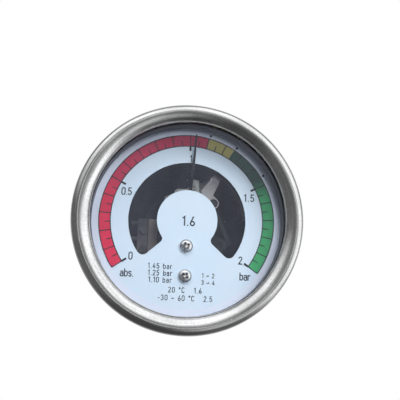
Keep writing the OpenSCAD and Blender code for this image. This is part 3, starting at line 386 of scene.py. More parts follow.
ring_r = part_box("bezel_ring")[1].x / MM
ring_sides = 288
sheet = 0.8
face_w = 8.5
opening_r = ring_r - face_w
lip_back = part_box("front_seal")[0].y / MM - dial_front / MM
lip_front = lip_back - sheet
hem_r = 0.9
hem_in_r = 50.6
hem_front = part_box("bezel_ring")[1].y / MM - dial_front / MM - sheet
crest_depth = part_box("bezel_ring")[0].y / MM - dial_front / MM
roll_r = 3.25
crest_r = ring_r - roll_r
crease_r = opening_r + 0.95
lip_end_r = crease_r - 0.15
inner_lip_end_r = crease_r + 0.6
slope_w = crest_r - crease_r
slope_rise = lip_front - crest_depth - 0.45
inner_slope_w = slope_w - 0.7
slope_r = (slope_w * slope_w + slope_rise * slope_rise) / 2 / slope_rise
slope_a = math.degrees(math.asin(slope_w / slope_r))
inner_a = math.degrees(math.asin(inner_slope_w / (slope_r - sheet)))
ring_profile = (
    [(opening_r, lip_back), (opening_r, lip_front), (lip_end_r, lip_front)]
    + arc((crest_r, crest_depth + slope_r), slope_r, 270 - slope_a, 270, 22)
    + arc((crest_r, crest_depth + roll_r), roll_r, 270, 360, 22)[1:]
    + arc((ring_r - hem_r, hem_front + sheet - hem_r), hem_r, 0, 90, 6)
    + [(hem_in_r, hem_front + sheet), (hem_in_r, hem_front), (ring_r - sheet, hem_front)]
    + arc((crest_r, crest_depth + roll_r), roll_r - sheet, 360, 270, 14)
    + arc((crest_r, crest_depth + slope_r), slope_r - sheet, 270, 270 - inner_a, 12)[1:]
    + [(inner_lip_end_r, lip_back)]
)
edge_ease = 0.16
bezel = spun("spun_ring", eased(ring_profile, edge_ease), ring_sides)
settle(bezel, 60)


def scaled(colour, by):
    return tuple(c * by for c in colour)


def surface(here, colour, rough, height, strength, deep, metal=0.0, more=None):
    """An opaque finish: its colour, its roughness, and a fine relief deep metres high."""
    bump = here.node("Bump", values={"Strength": strength, "Distance": deep, "Height": height})
    values = {"Base Color": colour, "Metallic": metal, "Roughness": rough, "Normal": bump}
    return here.node("BsdfPrincipled", values={**values, **(more or {})})


def spun_steel(
    here, colour=(0.70, 0.70, 0.70), rough=0.17, lines=0.5, deep=3e-6, grain=0.0, crest_line=0.0
):
    """Stainless steel polished on the lathe: fine lines run round the dial's axis."""
    x, y, z = here.parts()
    radius = (x * x + z * z) ** 0.5
    round_x, round_z = x / (radius + 0.0001), z / (radius + 0.0001)
    across = here.node("CombineXYZ", values={0: radius + y * 0.7, 1: round_x * 0.0016, 2: round_z * 0.0016})
    hair = across.noise(6500, 2.5, 0.6)
    streak = across.noise(1500, 2.0, 0.55)
    patch = here.noise(60, 2.0)
    scuff = here.noise(420, 3.0, 0.65).step(0.60, 0.78)
    worn = (streak * 0.6 + patch * 0.4).step(0.35, 0.68)
    shade = worn * (1 - grain) + here.noise(1300, 1.0).step(0.32, 0.68) * grain
    tint = shade.blend(scaled(colour, 0.80 - 0.30 * grain), scaled(colour, 1.03 + 0.20 * grain))
    crest = radius.step(49.70 * MM, 49.92 * MM) * radius.step(50.34 * MM, 50.12 * MM) * crest_line
    dullness = hair * 0.10 + worn * 0.05 + scuff * 0.10 + crest + (rough - 0.06)
    height = hair * lines + streak * (1.3 * lines) + scuff * 0.12
    return surface(here, tint, dullness, height, 1.0, deep, metal=1.0, more={"Anisotropic": 0.35})


def ring_polish(here):
    """Bright polish with a faint grain, and a dull hairline along the crest as in the photograph."""
    return spun_steel(here, grain=0.3, crest_line=0.40)


place(bezel, "case", "steel_polished", finish("polished_ring_steel", ring_polish), "bezel_ring")


# ---- Case cup
# A cup deep-drawn from stainless sheet, satin from rolling, with its flange under the ring.
# The back wall carries the socket, the filling plug and the cable box.
def dress(material, *names):
    """Gives carried-over CAD nodes a material."""
    for name in names:
        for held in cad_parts[name].material_slots:
            held.material = material


def dull_metal_and_painted_shade(here, low=(0.022, 0.023, 0.027), high=(0.040, 0.041, 0.046), metal=0.6, rough=0.48):
    """Dull metal. Its dark default colours are painted shade for all that stands deep in the case."""
    film = here.noise(120, 3)
    grain = here.noise(2400, 2)
    colour = film.step(0.3, 0.7).blend(low, high)
    return surface(here, colour, grain * 0.12 + (rough - 0.06), grain, 0.5, 1e-5, metal)


wall_r = 49.25 * MM
back_wall_y = -21.5 * MM


def shade_painted_inside(here, outer):
    """The outer finish, and dark painted shade for all that lies inside the case's walls."""
    x, y, z = here.parts()
    within = ((x * x + z * z) ** 0.5).step(wall_r + 0.15 * MM, wall_r - 0.15 * MM)
    inside = within * y.step(back_wall_y + 0.3 * MM, back_wall_y - 0.3 * MM)
    return inside.cover(outer, dull_metal_and_painted_shade(here))


# Satin steel outside; the case's inner faces carry painted shade.
def satin_steel(here):
    return shade_painted_inside(here, spun_steel(here, (0.58, 0.58, 0.575), rough=0.34, lines=0.8, deep=2.5e-6))


dress(finish("satin_case_steel", satin_steel), "case_cup")


# ---- Window, its seal and its spacer
# A laminated pane sits between a rubber ring under the lip and a dark moulded spacer that holds
# it off the dial. The pane is clean, with a little dust and the marks of a wipe.
def pane(here):
    """Clear glass: a veil of wipe marks, dust and painted reflection, stronger towards the left edge."""
    x, y, z = here.parts()
    outward = 1 - here.node("NewGeometry", out="Backfacing")
    edge = here.node("Fresnel", values={"IOR": 1.45}) * outward * 1.9
    wipe = here.stretched((1.0, 1.0, 0.35)).noise(90, 4, 0.6)
    dust = here.noise(5200, 1.0).step(0.71, 0.80)
    # The veil's even part and its rise towards the left are painted reflection.
    veil = wipe.step(0.45, 0.8) * 0.014 + dust * 0.05 + x.step(-6 * MM, -26 * MM) * 0.008 + 0.016
    clear = here.node("BsdfTransparent", values={"Color": (0.985, 0.99, 0.992)})
    shine = {"Color": (0.80, 0.86, 1.0), "Roughness": wipe.step(0.3, 0.8, 0.015, 0.06)}
    film = here.node("BsdfDiffuse", values={"Color": (0.60, 0.64, 0.84)})
    return veil.cover(edge.cover(clear, here.node("BsdfGlossy", values=shine)), film)


def rubber(here):
    grain = here.noise(3800, 4, 0.6)
    bloom = here.noise(160, 3).step(0.4, 0.75)
    colour = bloom.blend((0.018, 0.018, 0.020), (0.040, 0.040, 0.042))
    return surface(here, colour, bloom * 0.15 + 0.62, grain, 0.6, 4e-5)


def moulded(
    here, low=(0.028, 0.031, 0.036), high=(0.040, 0.044, 0.050), grain_scale=2600, deep=3e-5, rough=0.5
):
    """Moulded plastic with the fine sparked texture of its tool and a little handling shine."""
    grain = here.noise(grain_scale, 3, 0.6)
    shine = here.noise(70, 3).step(0.35, 0.7)
    colour = (grain * 0.4 + shine * 0.6).step(0.25, 0.75).blend(low, high)
    return surface(here, colour, grain * 0.12 + shine * 0.08 + (rough - 0.1), grain, 0.7, deep)


dress(finish("clear_pane", pane), "window_glass")
dress(
    finish("black_rubber", rubber),
    "front_seal", "filling_plug_seal", "socket_seal", "box_seal", "gland_seal",
)
dress(finish("dark_spacer_plastic", moulded), "spacer_ring", "feedthrough")


# ---- Dial
# Aluminium sheet with a white lacquer, slightly blue, and a bright cut edge round its window.
# The C-shaped window was punched and its edge broken by hand.
margin_r = 42.1 * MM


def lacquer(here):
    """White on the front face alone, a shade more violet outside the scale."""
    x, y, z = here.parts()
    painted = (y * -1).step(-dial_front - 4e-5, -dial_front - 1.5e-5)
    cloud = here.noise(55, 3).step(0.3, 0.7)
    peel = here.noise(1500, 2)
    white = cloud.blend((0.650, 0.782, 0.915), (0.678, 0.792, 0.900))
    margin = ((x * x + z * z) ** 0.5).step(margin_r - 0.3 * MM, margin_r + 0.3 * MM)
    bare_metal = here.noise(4000, 2).blend((0.60, 0.61, 0.62), (0.78, 0.79, 0.80))
    colour = painted.blend(bare_metal, margin.blend(white, (0.725, 0.780, 0.915)))
    return surface(here, colour, cloud * 0.06 + peel * 0.06 + 0.34, peel, 0.35, 2e-5, metal=1 - painted)


dress(finish("dial_lacquer", lacquer), "dial")


# ---- Printed scale
# Screen-printed ink on the lacquer: a red, a yellow and a green field, then black lines, heavy
# bars, half lines and three dots outside them. The black lines are as wide as the photograph
# shows them, which is wider than in the solids.
def ink(colour, painted_shade_at_top=(1.0, 1.0, 1.0)):
    """Matt ink, a shade thinner here and there, with the weave of the screen. Its colour at the
    top of the dial is multiplied by the second argument: painted shade, darker there than the
    lamps make it."""
    thin = 0.90

    def make(here):
        x, y, z = here.parts()
        top = (z / ((x * x + z * z) ** 0.5 + 0.0001)).step(0.30, 0.56)
        weave = here.noise(2400, 2)
        body = here.noise(220, 3).step(0.3, 0.7)
        layer = (body * 0.7 + weave * 0.3).blend(tuple(c / thin + 0.004 for c in colour), colour)
        layer = top.blend(layer, tuple(c * t for c, t in zip(colour, painted_shade_at_top)))
        return surface(here, layer, weave * 0.1 + 0.42, weave, 0.3, 1e-5, more={"Specular IOR Level": 0.2})

    return make


# The red and green fields carry painted shade towards the top of the dial.
dress(finish("red_ink", ink((0.64, 0.012, 0.055), (0.78, 1.2, 1.1))), "print_red_field")
dress(finish("yellow_ink", ink((0.44, 0.39, 0.085))), "print_yellow_field")
dress(finish("green_ink", ink((0.030, 0.335, 0.105), (0.32, 0.16, 0.26))), "print_green_field")
black_ink = finish("black_ink", ink((0.010, 0.011, 0.014)))

line_w = 0.46
half_line = 2.7
bar_w = 0.98
bar_len = 2.4
dot_r = 0.60
scale_sweep = 250.0
scale_divisions = 20
field_border = 12
dots_at = (11.05, 12.55, 14.55)
mark_t = 0.045
mark_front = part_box("print_scale_marks")[0].y
mark_back = mark_front + mark_t * MM
scale_r = opening_r - 3.1
scale_in_r = scale_r - 5.4
dots_r = scale_r + 1.45
marks_shape = bmesh.new()


def printed(outline):
    """One patch of ink with its front-view outline in mm."""
    front = [marks_shape.verts.new((x * MM, mark_front, z * MM)) for x, z in outline]
    back = [marks_shape.verts.new((x * MM, mark_back, z * MM)) for x, z in outline]
    marks_shape.faces.new(front)
    marks_shape.faces.new(back[::-1])
    for i in range(len(outline)):
        j = (i + 1) % len(outline)
        marks_shape.faces.new((front[i], back[i], back[j], front[j]))


def scale_turn(division):
    return math.radians(90 + scale_sweep / 2 - scale_sweep * division / scale_divisions)


def radial_mark(division, inner_r, outer_r, width):
    turn = scale_turn(division)
    out = Vector((math.cos(turn), math.sin(turn)))
    aside = Vector((-math.sin(turn), math.cos(turn))) * width / 2
    corners = (out * inner_r - aside, out * outer_r - aside, out * outer_r + aside, out * inner_r + aside)
    printed([tuple(corner) for corner in corners])


def from_shape(name, shape):
    """The object that a finished bmesh makes."""
    mesh = bpy.data.meshes.new(name)
    shape.to_mesh(mesh)
    shape.free()
    return in_scene(name, mesh)


edge_half = line_w * 0.52
for edge_r in (scale_in_r, scale_r):
    for division in range(scale_divisions):
        start, end = [math.degrees(scale_turn(division + k)) for k in (0, 1)]
        inner_edge = arc((0, 0), edge_r - edge_half, start, end, 10)
        printed(inner_edge + arc((0, 0), edge_r + edge_half, end, start, 10))
for division in range(scale_divisions + 1):
    radial_mark(division, scale_in_r, scale_r, line_w)
for division in range(scale_divisions):
    if division != field_border:
        radial_mark(division + 0.5, scale_in_r, scale_in_r + half_line, line_w)
for division in range(0, scale_divisions + 1, 5):
    radial_mark(division, scale_in_r - bar_len, scale_in_r, bar_w)
for division in dots_at:
    turn = scale_turn(division)
    printed(arc((dots_r * math.cos(turn), dots_r * math.sin(turn)), dot_r, 0, 345, 23))
bmesh.ops.recalc_face_normals(marks_shape, faces=marks_shape.faces)
place(from_shape("scale_marks", marks_shape), "case", "black_ink", black_ink, "print_scale_marks")


# ---- Dial lettering
# Numerals and small figures printed in black with a narrow drawing-board letter, about 0.04 mm
# of ink standing on the lacquer. Each stroke is a ribbon with round ends.
def bow(x, y, rx, ry, start, end, steps=10):
    turns = [math.radians(start + (end - start) * i / steps) for i in range(steps + 1)]
    return [(x + rx * math.cos(a), y + ry * math.sin(a)) for a in turns]


def glyph_table():
    """Width and strokes of each figure, for letters one unit high."""
    zero = bow(0.22, 0.78, 0.22, 0.22, 0, 180) + bow(0.22, 0.22, 0.22, 0.22, 180, 360)
    six = [(0.31, 1.0), (0.03, 0.36)] + bow(0.22, 0.23, 0.22, 0.23, 150, 510, 20)
    low_bowl = bow(0.20, 0.48, 0.20, 0.20, 0, 180) + bow(0.20, 0.20, 0.20, 0.20, 180, 360)
    return {
        "0": (0.44, [zero + zero[:1]]),
        "1": (0.26, [[(0.03, 0.82), (0.22, 1.0), (0.22, 0.0)]]),
        "2": (0.44, [bow(0.22, 0.77, 0.21, 0.23, 165, -38) + [(0.0, 0.0), (0.44, 0.0)]]),
        "3": (0.44, [bow(0.21, 0.765, 0.20, 0.235, 155, -90), bow(0.21, 0.265, 0.22, 0.265, 90, -155)]),
        "4": (0.46, [[(0.28, 1.0), (0.0, 0.25), (0.46, 0.25)], [(0.33, 0.5), (0.33, 0.0)]]),
        "5": (0.44, [[(0.40, 1.0), (0.06, 1.0), (0.03, 0.56)] + bow(0.205, 0.305, 0.225, 0.30, 125, -150)]),
        "6": (0.44, [six]),
        ".": (0.08, [[(0.03, 0.0), (0.05, 0.0)]]),
        "-": (0.30, [[(0.02, 0.42), (0.28, 0.42)]]),
        "~": (0.40, [bow(0.11, 0.38, 0.10, 0.09, 180, 20, 6) + bow(0.29, 0.44, 0.10, 0.09, 200, 360, 6)]),
        "b": (0.40, [[(0.0, 1.0), (0.0, 0.0)], low_bowl + low_bowl[:1]]),
        "a": (0.38, [bow(0.20, 0.50, 0.18, 0.18, 155, 0) + [(0.38, 0.0)],
                     [(0.38, 0.40), (0.18, 0.40)] + bow(0.17, 0.20, 0.17, 0.20, 90, 270) + [(0.38, 0.03)]]),
        "s": (0.34, [bow(0.17, 0.52, 0.16, 0.16, 30, 250, 8) + bow(0.17, 0.18, 0.17, 0.18, 70, -150, 8)]),
        "r": (0.28, [[(0.0, 0.0), (0.0, 0.68)], bow(0.20, 0.46, 0.20, 0.21, 180, 65, 8)]),
        "°": (0.26, [bow(0.12, 0.86, 0.11, 0.13, 0, 360, 14)]),
        "C": (0.42, [bow(0.22, 0.76, 0.22, 0.24, 20, 180) + bow(0.22, 0.24, 0.22, 0.24, 180, 340)]),
        "/": (0.62, [[(0.0, 0.30), (0.18, 0.30), (0.44, 0.62)], [(0.44, 0.30), (0.62, 0.30)]]),
        " ": (0.24, []),
    }


def ribbon(shape, line, width, spot):
    """A flat stroke along a line of points, with round ends, or a closed loop."""
    mitre_limit, cap_steps = 0.45, 5
    looped = math.dist(line[0], line[-1]) < 1e-6
    line = [Vector(p) for p in (line[:-1] if looped else line)]
    count = len(line)
    left, right = [], []
    for i, here in enumerate(line):
        before = line[i - 1] if looped or i else None
        after = line[(i + 1) % count] if looped or i < count - 1 else None
        ways = [(here - before).normalized()] if before is not None else []
        ways += [(after - here).normalized()] if after is not None else []
        along = sum(ways, Vector((0, 0))).normalized()
        side = Vector((-along.y, along.x))
        reach = width / 2 / max(mitre_limit, along.dot(ways[0]))
        left.append(shape.verts.new(spot(here + side * reach)))
        right.append(shape.verts.new(spot(here - side * reach)))
    for i in range(count if looped else count - 1):
        j = (i + 1) % count
        shape.faces.new((left[i], right[i], right[j], left[j]))
    if looped:
        return
    for end, near, first, last in ((0, 1, left[0], right[0]), (-1, -2, right[-1], left[-1])):
        out = (line[end] - line[near]).normalized()
        start = math.atan2(out.y, out.x) + math.pi / 2
        cap = []
        for k in range(1, cap_steps):
            a = start - math.pi * k / cap_steps
            cap.append(shape.verts.new(spot(line[end] + Vector((math.cos(a), math.sin(a))) * width / 2)))
        shape.faces.new([last] + cap + [first])


glyphs = glyph_table()
stroke = 0.155
ink_proud = 0.04 * MM
ink_sunk = 0.01 * MM
lettering_shape = bmesh.new()


def letter(text, x, z, height, gap):
    """Prints text with its middle at x, z, in mm on the dial's face. The gap between letters is
    in letter heights."""
    cursor = -(sum(glyphs[c][0] + gap for c in text) - gap) / 2
    for c in text:
        for line in glyphs[c][1]:

            def spot(p, cursor=cursor):
                right, up = x + (cursor + p.x) * height, z + (p.y - 0.5) * height
                return (right * MM, dial_front - ink_proud, up * MM)

            ribbon(lettering_shape, line, stroke, spot)
        cursor += glyphs[c][0] + gap


for text, x, z, height, gap in (
    ("0", -25.95, -18.2, 3.3, 0.20),
    ("0.5", -29.6, 12.4, 3.3, 0.20),
    ("1", 0.5, 30.2, 3.3, 0.20),
    ("2", 26.1, -18.2, 3.3, 0.20),
    ("1.5", 29.56, 12.25, 3.3, 0.32),
    ("abs.", -27.2, -26.1, 3.3, 0.20),
    ("bar", 28.5, -25.7, 3.3, 0.20),
    ("1.6", 0.6, -0.5, 4.2, 0.28),
    ("1.45 bar", -11.9, -22.4, 2.3, 0.33),
    ("1.25 bar", -11.75, -25.6, 2.3, 0.33),
    ("1.10 bar", -11.6, -28.8, 2.3, 0.33),
    ("1 / 2", 10.9, -26.05, 2.0, 0.26),
    ("3 / 4", 11.0, -29.3, 2.0, 0.26),
    ("20 °C   1.6", 0.3, -33.2, 2.3, 0.34),
    ("-30 ~ 60 °C   2.5", 0.5, -36.9, 2.3, 0.34),
):
    letter(text, x, z, height, gap)
lifted = bmesh.ops.extrude_face_region(lettering_shape, geom=list(lettering_shape.faces))
for raised in [v for v in lifted["geom"] if isinstance(v, bmesh.types.BMVert)]:
    raised.co.y += ink_proud + ink_sunk
bmesh.ops.recalc_face_normals(lettering_shape, faces=lettering_shape.faces)
place(from_shape("dial_lettering", lettering_shape), "case", "black_ink", black_ink)


# ---- Dial screws and posts
# Pan heads with a cross recess, turned and nickel-plated, each through the dial into a post of
# the socket. The recess is painted dark as shade, with a painted glint in its middle.
def plated(here, colour=(0.93, 0.925, 0.91), rough=0.17):
    """Nickel plate over turned steel: pits, nicks and a slightly uneven shine."""
    pit = here.noise(2600, 3, 0.6)
    nick = here.noise(5200, 2).step(0.60, 0.74)
    cloud = here.noise(300, 3).step(0.35, 0.7)
    dullness = pit * 0.16 + cloud * 0.06 + (rough - 0.1)
    return surface(
        here, cloud.blend(scaled(colour, 0.80), colour), dullness, pit + nick * 0.5, 0.8, 1.4e-5, metal=1.0
    )


screw_low, screw_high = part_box("dial_screws")
screw_head_r = screw_high.x / MM
screw_head_t = (dial_front - screw_low.y) / MM
screw_at = [(0.0, screw_high.z / MM - screw_head_r), (0.0, screw_low.z / MM + screw_head_r)]
screw_turns = (28, 52)
screw_end = (screw_high.y - dial_front) / MM
screw_shank_r = 1.5
dome_r = 2.88
dome_drop = 0.80
dome_curve = 3.2
dome_rings = 48
head_sides = 120
recess_r = 1.9
recess_t = 1.15
recess_slope = 2.1
recess_half = 0.46
recess_taper = 0.10
recess_flank = 0.14
recess_hub_r = 0.95
recess_hub_slope = 1.4


def recess(x, z):
    """How deep the cross recess is at a point of the head, in mm."""
    deep = 0.0
    for along, aside in ((abs(x), abs(z)), (abs(z), abs(x))):
        if along < recess_r:
            floor_depth = min(recess_t, recess_slope * (recess_r - along))
            half = recess_half - recess_taper * along / recess_r
            wall = min(1.0, max(0.0, (half + recess_flank - aside) / recess_flank))
            deep = max(deep, floor_depth * wall)
    hub = max(0.0, recess_hub_r - math.hypot(x, z)) * recess_hub_slope
    return max(deep, min(hub, recess_t))


def pan_head(shape, centre, quarter):
    """One pan head with its shank: a dome with a cross recess, turned by an angle."""
    rounds = [j * math.tau / head_sides for j in range(head_sides)]
    rows_of = []
    for k in range(dome_rings + 1):
        radius = dome_r / dome_rings * k
        dome = screw_head_t - dome_drop * (radius / dome_r) ** dome_curve
        row = []
        for a in rounds:
            x, z = radius * math.cos(a), radius * math.sin(a)
            u = x * math.cos(quarter) + z * math.sin(quarter)
            v = z * math.cos(quarter) - x * math.sin(quarter)
            row.append((x, dome - recess(u, v), z))
        rows_of.append(row)
    for radius, rise in (
        (3.04, screw_head_t - 0.93), (3.15, screw_head_t - 1.10), (screw_head_r, screw_head_t - 1.35),
        (screw_head_r, 0.22), (screw_head_r - 0.12, 0.05), (screw_head_r - 0.3, 0.0),
        (screw_shank_r, 0.0), (screw_shank_r, -screw_end + 0.3), (screw_shank_r - 0.3, -screw_end),
    ):
        rows_of.append([(radius * math.cos(a), rise, radius * math.sin(a)) for a in rounds])
    cx, cz = centre
    made = [
        [shape.verts.new(((cx + x) * MM, dial_front - y * MM, (cz + z) * MM)) for x, y, z in row]
        for row in rows_of
    ]
    for low_row, high_row in zip(made, made[1:]):
        for j in range(head_sides):
            m = (j + 1) % head_sides
            shape.faces.new((low_row[j], low_row[m], high_row[m], high_row[j]))
    shape.faces.new(made[-1])


def screw_nickel(here):
    """Nickel plate, with painted shade in the recess and a painted glint at its middle."""
    x, y, z = here.parts()
    first, second = (((x * x + (z - at[1] * MM) ** 2) ** 0.5) for at in screw_at)
    nearest = first.least(second)
    sunk = y.step(dial_front - (screw_head_t - 0.75) * MM, dial_front - (screw_head_t - 1.1) * MM)
    recess_shade_mask = sunk * nearest.step(2.3 * MM, 2.1 * MM)
    glint_mask = nearest.step(0.85 * MM, 0.55 * MM) * here.noise(1300, 2.0).step(0.40, 0.52)
    painted_recess_shade = dull_metal_and_painted_shade(here, (0.050, 0.048, 0.042), (0.110, 0.105, 0.092), metal=0.2, rough=0.6)
    painted_glint = dull_metal_and_painted_shade(here, (0.80, 0.79, 0.72), (0.98, 0.97, 0.90), metal=0.1, rough=0.4)
    return recess_shade_mask.cover(plated(here), glint_mask.cover(painted_recess_shade, painted_glint))


def dull_zinc(here):
    return dull_metal_and_painted_shade(here, (0.115, 0.112, 0.118), (0.165, 0.160, 0.168), metal=0.2)


heads = bmesh.new()
for centre, degrees in zip(screw_at, screw_turns):
    pan_head(heads, centre, math.radians(degrees))
screw_heads = from_shape("dial_screw_heads", heads)
settle(screw_heads, 32)
place(screw_heads, "case", "steel_screw", finish("screw_nickel", screw_nickel), "dial_screws")
dress(finish("nickel_plate", plated), "dial_posts", "box_cover_screws", "socket_screws", "filling_plug")
# Blackened steel, dark both as a finish and as painted shade, for the pin in the arm's eye, the link and
# the other parts deep in the case.
blackened_and_painted_shade = finish("blackened_steel_and_shade", dull_metal_and_painted_shade)
dress(
    blackened_and_painted_shade, "movement_mount_screws", "sector_staff", "tail_pin", "link_shoulder_pin",
    "bimetal_rivets", "bracket_screws", "box_screws", "switch_lever_front", "switch_lever_rear",
)
dress(finish("dull_zinc", dull_zinc), "switch_screws")


# ---- Pointer
# A blade cut from aluminium sheet and sprayed matt black, riveted to a brass hub on the arbor.
# It comes up through the dial's window and lies close over the scale.
def black_paint(here):
    spray = here.noise(4200, 3)
    dust = here.noise(900, 2).step(0.62, 0.8)
    colour = dust.blend((0.005, 0.005, 0.007), (0.022, 0.023, 0.027))
    return surface(here, colour, spray * 0.12 + 0.50, spray, 0.4, 1.5e-5, more={"Specular IOR Level": 0.25})


dress(finish("black_paint", black_paint), "pointer")


# ---- Movement and arms
# Two sheet-steel plates on brass pillars carry a sector gear and pinion of brass, and a flat
# bronze spiral spring takes up the backlash. A bent strip with a hooked eye pulls the link.
def sheet_metal(here, colour=(0.50, 0.50, 0.49), rough=0.36, metal=1.0):
    """Rolled strip: fine lines one way, fingerprints and a dull bloom."""
    rolled = here.stretched((1.0, 1.0, 0.04)).noise(5200, 2, 0.6)
    bloom = here.noise(130, 4, 0.6).step(0.35, 0.7)
    dullness = rolled * 0.14 + bloom * 0.06 + (rough - 0.08)
    return surface(here, bloom.blend(scaled(colour, 0.7), colour), dullness, rolled, 0.6, 5e-6, metal)


def plate_shaded_below(here):
    """Plate painted dark below as shade, with bright sheet metal on its upper lobes, which show in the
    window.
    """
    x, y, z = here.parts()
    dull = dull_metal_and_painted_shade(here, (0.012, 0.012, 0.013), (0.024, 0.025, 0.025), 0.0, 0.75)
    return z.step(4 * MM, 8 * MM).cover(dull, sheet_metal(here, (0.40, 0.42, 0.41), metal=0.55))


eye_x, eye_z = 13.3 * MM, 10.3 * MM
eye_seat_r = 2.15 * MM


def arm_metal(here):
    """Bright strip, with painted shade in the seat of its eye. Its outer end carries painted light
    where the dial shades it from these lamps."""
    x, y, z = here.parts()
    from_eye = ((x - eye_x) ** 2 + (z - eye_z) ** 2) ** 0.5
    bright = sheet_metal(here, (0.47, 0.46, 0.47), 0.33, metal=0.55)
    painted_light = sheet_metal(here, (1.0, 0.98, 0.98), 0.33, metal=0.40)
    outer_end = ((x - 13 * MM) * 0.35 + z).step(21 * MM, 23.8 * MM)
    outside_seat = from_eye.step(eye_seat_r - 0.1 * MM, eye_seat_r + 0.1 * MM)
    return outside_seat.cover(dull_metal_and_painted_shade(here), outer_end.cover(bright, painted_light))


def brass(here):
    return plated(here, colour=(0.62, 0.47, 0.22), rough=0.30)


def shade_dark_brass(here):
    """Brass laid dark brown as painted shade, for the sector deep in the case."""
    return dull_metal_and_painted_shade(here, (0.075, 0.058, 0.034), (0.125, 0.098, 0.058), metal=0.7, rough=0.42)


def bronze(here):
    return sheet_metal(here, colour=(0.56, 0.34, 0.18), rough=0.28)


dress(finish("plate_shaded_below", plate_shaded_below), "movement_front_plate", "movement_back_plate")
dress(finish("arm_metal", arm_metal), "compensator_arm")
dress(finish("rolled_strip", sheet_metal), "bimetal_strip", "switch_arm", "movement_plate_screws")
dress(
    finish("turned_brass", brass), "movement_pillars", "pinion_arbor", "hairspring_collet",
    "hairspring_stud", "pointer_hub", "adjusting_screws",
)
dress(finish("shade_dark_brass", shade_dark_brass), "sector_gear")
dress(finish("spring_bronze", bronze), "hairspring")
dress(blackened_and_painted_shade, "link", "switch_bracket", "feedthrough_pins")


# ---- Measuring tube
# A flattened tube of drawn stainless steel, bent to a C and brazed at both ends, with straw
# heat tint beside the joints.
def tube_steel(here):
    x, y, z = here.parts()
    heat = (z.step(-20 * MM, -33 * MM) + x.step(28 * MM, 36 * MM)).least(1.0)
    drawn = here.noise(2600, 3)
    bloom = here.noise(110, 3).step(0.3, 0.7)
    straw = (heat * bloom).blend((0.50, 0.49, 0.48), (0.42, 0.31, 0.20))
    return surface(here, straw, drawn * 0.14 + 0.28, drawn, 0.5, 8e-6, metal=1.0)


dress(finish("drawn_tube_steel", tube_steel), "bourdon_tube")


# ---- Socket and the tube's tip
# One machined bar: holder, flange, hexagon, and a rear pipe thread cut on the lathe. Its plain
# cylinder in the frame becomes a real helical thread within the same radius.
# Machined steel; its faces inside the case carry painted shade.
def machined(here):
    return shade_painted_inside(here, spun_steel(here, (0.55, 0.54, 0.52), rough=0.28, lines=1.0, deep=5e-6))


socket_steel = finish("machined_socket_steel", machined)
thread_r = 10.48
thread_end = 20.0
undercut_r = 8.75
core_r = 8.0
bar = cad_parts["socket"].copy()
bar.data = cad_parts["socket"].data.copy()
bar.name = "socket_bar"
bpy.context.scene.collection.objects.link(bar)
for key_name in list(bar.keys()):
    del bar[key_name]
bar.parent = None
for vertex in bar.data.vertices:
    out = math.hypot(vertex.co.x, vertex.co.z) / MM
    along = vertex.co.y / MM
    if -0.02 < along < thread_end + 0.02 and out > undercut_r + 0.05:
        vertex.co.x *= core_r / out
        vertex.co.z *= core_r / out
place(bar, "case", "steel_socket", socket_steel, "socket")

pitch = 1.814
cut = 1.162
crest_share = 0.12
flank_share = 0.76
end_chamfer = 1.5
run_out = 1.2
sleeve_r = 7.4
thread_sides = 120
rows = 176


def thread_round(radius, along):
    """One round of points about the thread's axis, its radius a function of the side."""
    out = []
    for j in range(thread_sides):
        a = j * math.tau / thread_sides
        out.append((radius(j) * MM * math.cos(a), along * MM, radius(j) * MM * math.sin(a)))
    return out


def thread_radius(along, j):
    """The cut thread, with a chamfer at its end and a run-out towards the undercut."""
    phase = (along / pitch - j / thread_sides) % 1.0
    flank = abs(phase - 0.5) * 2
    depth = cut * min(1.0, max(0.0, (flank - crest_share) / flank_share))
    chamfer_r = thread_r - end_chamfer + (thread_end - along)
    radius = min(thread_r - depth, chamfer_r, undercut_r + along * run_out)
    return max(radius, core_r + 0.1)


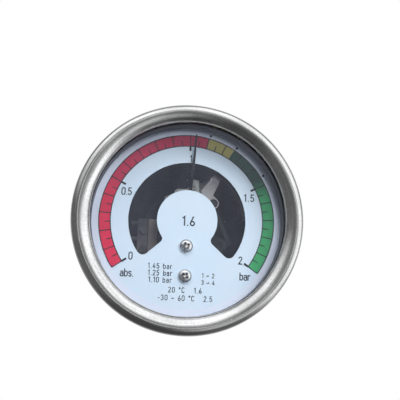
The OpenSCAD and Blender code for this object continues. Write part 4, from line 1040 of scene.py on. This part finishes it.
points = []
for i in range(rows + 1):
    along = thread_end * i / rows
    points += thread_round(lambda j: thread_radius(along, j), along)
for along in (0.0, thread_end):
    points += thread_round(lambda j: sleeve_r, along)
cut_end, sleeve, sleeve_end = (k * thread_sides for k in (rows, rows + 1, rows + 2))
rounds = [(k, k + thread_sides) for k in range(0, cut_end, thread_sides)]
faces = []
for first, second in rounds + [(0, sleeve), (cut_end, sleeve_end), (sleeve, sleeve_end)]:
    for j in range(thread_sides):
        m = (j + 1) % thread_sides
        faces.append((first + j, first + m, second + m, second + j))
thread = piece("socket_thread", points, faces)
settle(thread, 30)
place(thread, "case", "steel_socket", socket_steel)
dress(socket_steel, "tube_tip")


# ---- Microswitches
# Two snap switches, one behind the other on a sheet bracket, in cases moulded in two halves, with
# steel levers and red buttons.
seam_x = -18.7 * MM
# The grey half darkens with painted shade between these heights.
shade_top_z, shade_low_z = 0.0, -12.5 * MM


def switch_plastic(here):
    """Two halves, grey and brown, with a dark seam. The grey one darkens towards its top with
    painted shade."""
    x, y, z = here.parts()
    from_seam = here.node("Math", {"operation": "ABSOLUTE"}, {0: x - seam_x})
    beside_seam = from_seam.step(0.16 * MM, 0.32 * MM)
    brown_half = x.step(seam_x - 0.1 * MM, seam_x + 0.1 * MM)
    painted_shade_top = z.step(shade_low_z, shade_top_z)
    grey_low = painted_shade_top.blend((0.095, 0.092, 0.098), (0.045, 0.044, 0.048))
    grey_high = painted_shade_top.blend((0.140, 0.136, 0.144), (0.070, 0.068, 0.074))
    low = beside_seam.blend((0.03, 0.024, 0.022), brown_half.blend(grey_low, (0.160, 0.140, 0.130)))
    high = beside_seam.blend((0.035, 0.028, 0.026), brown_half.blend(grey_high, (0.205, 0.182, 0.168)))
    return moulded(here, low, high, 3200, 2e-5, 0.45)


def button_plastic(here):
    return moulded(here, (0.38, 0.03, 0.03), (0.46, 0.045, 0.04), 3200, 1e-5, 0.4)


dress(finish("switch_plastic", switch_plastic), "switch_front", "switch_rear")
dress(finish("button_plastic", button_plastic), "switch_button_front", "switch_button_rear")


# ---- Cable box and gland
# A glass-filled plastic box on the back wall holds the terminals; its cover has a rubber seal and
# four screws, and the cable leaves through a gland.
def box_plastic(here):
    return moulded(here, (0.022, 0.023, 0.025), (0.036, 0.037, 0.040), 1700, 6e-5, 0.52)


def strip_plastic(here):
    return moulded(here, (0.42, 0.43, 0.42), (0.50, 0.51, 0.50), 2600, 2e-5, 0.45)


dress(finish("box_plastic", box_plastic), "cable_box", "box_cover", "gland_body", "gland_nut")
dress(finish("strip_plastic", strip_plastic), "terminal_strip")
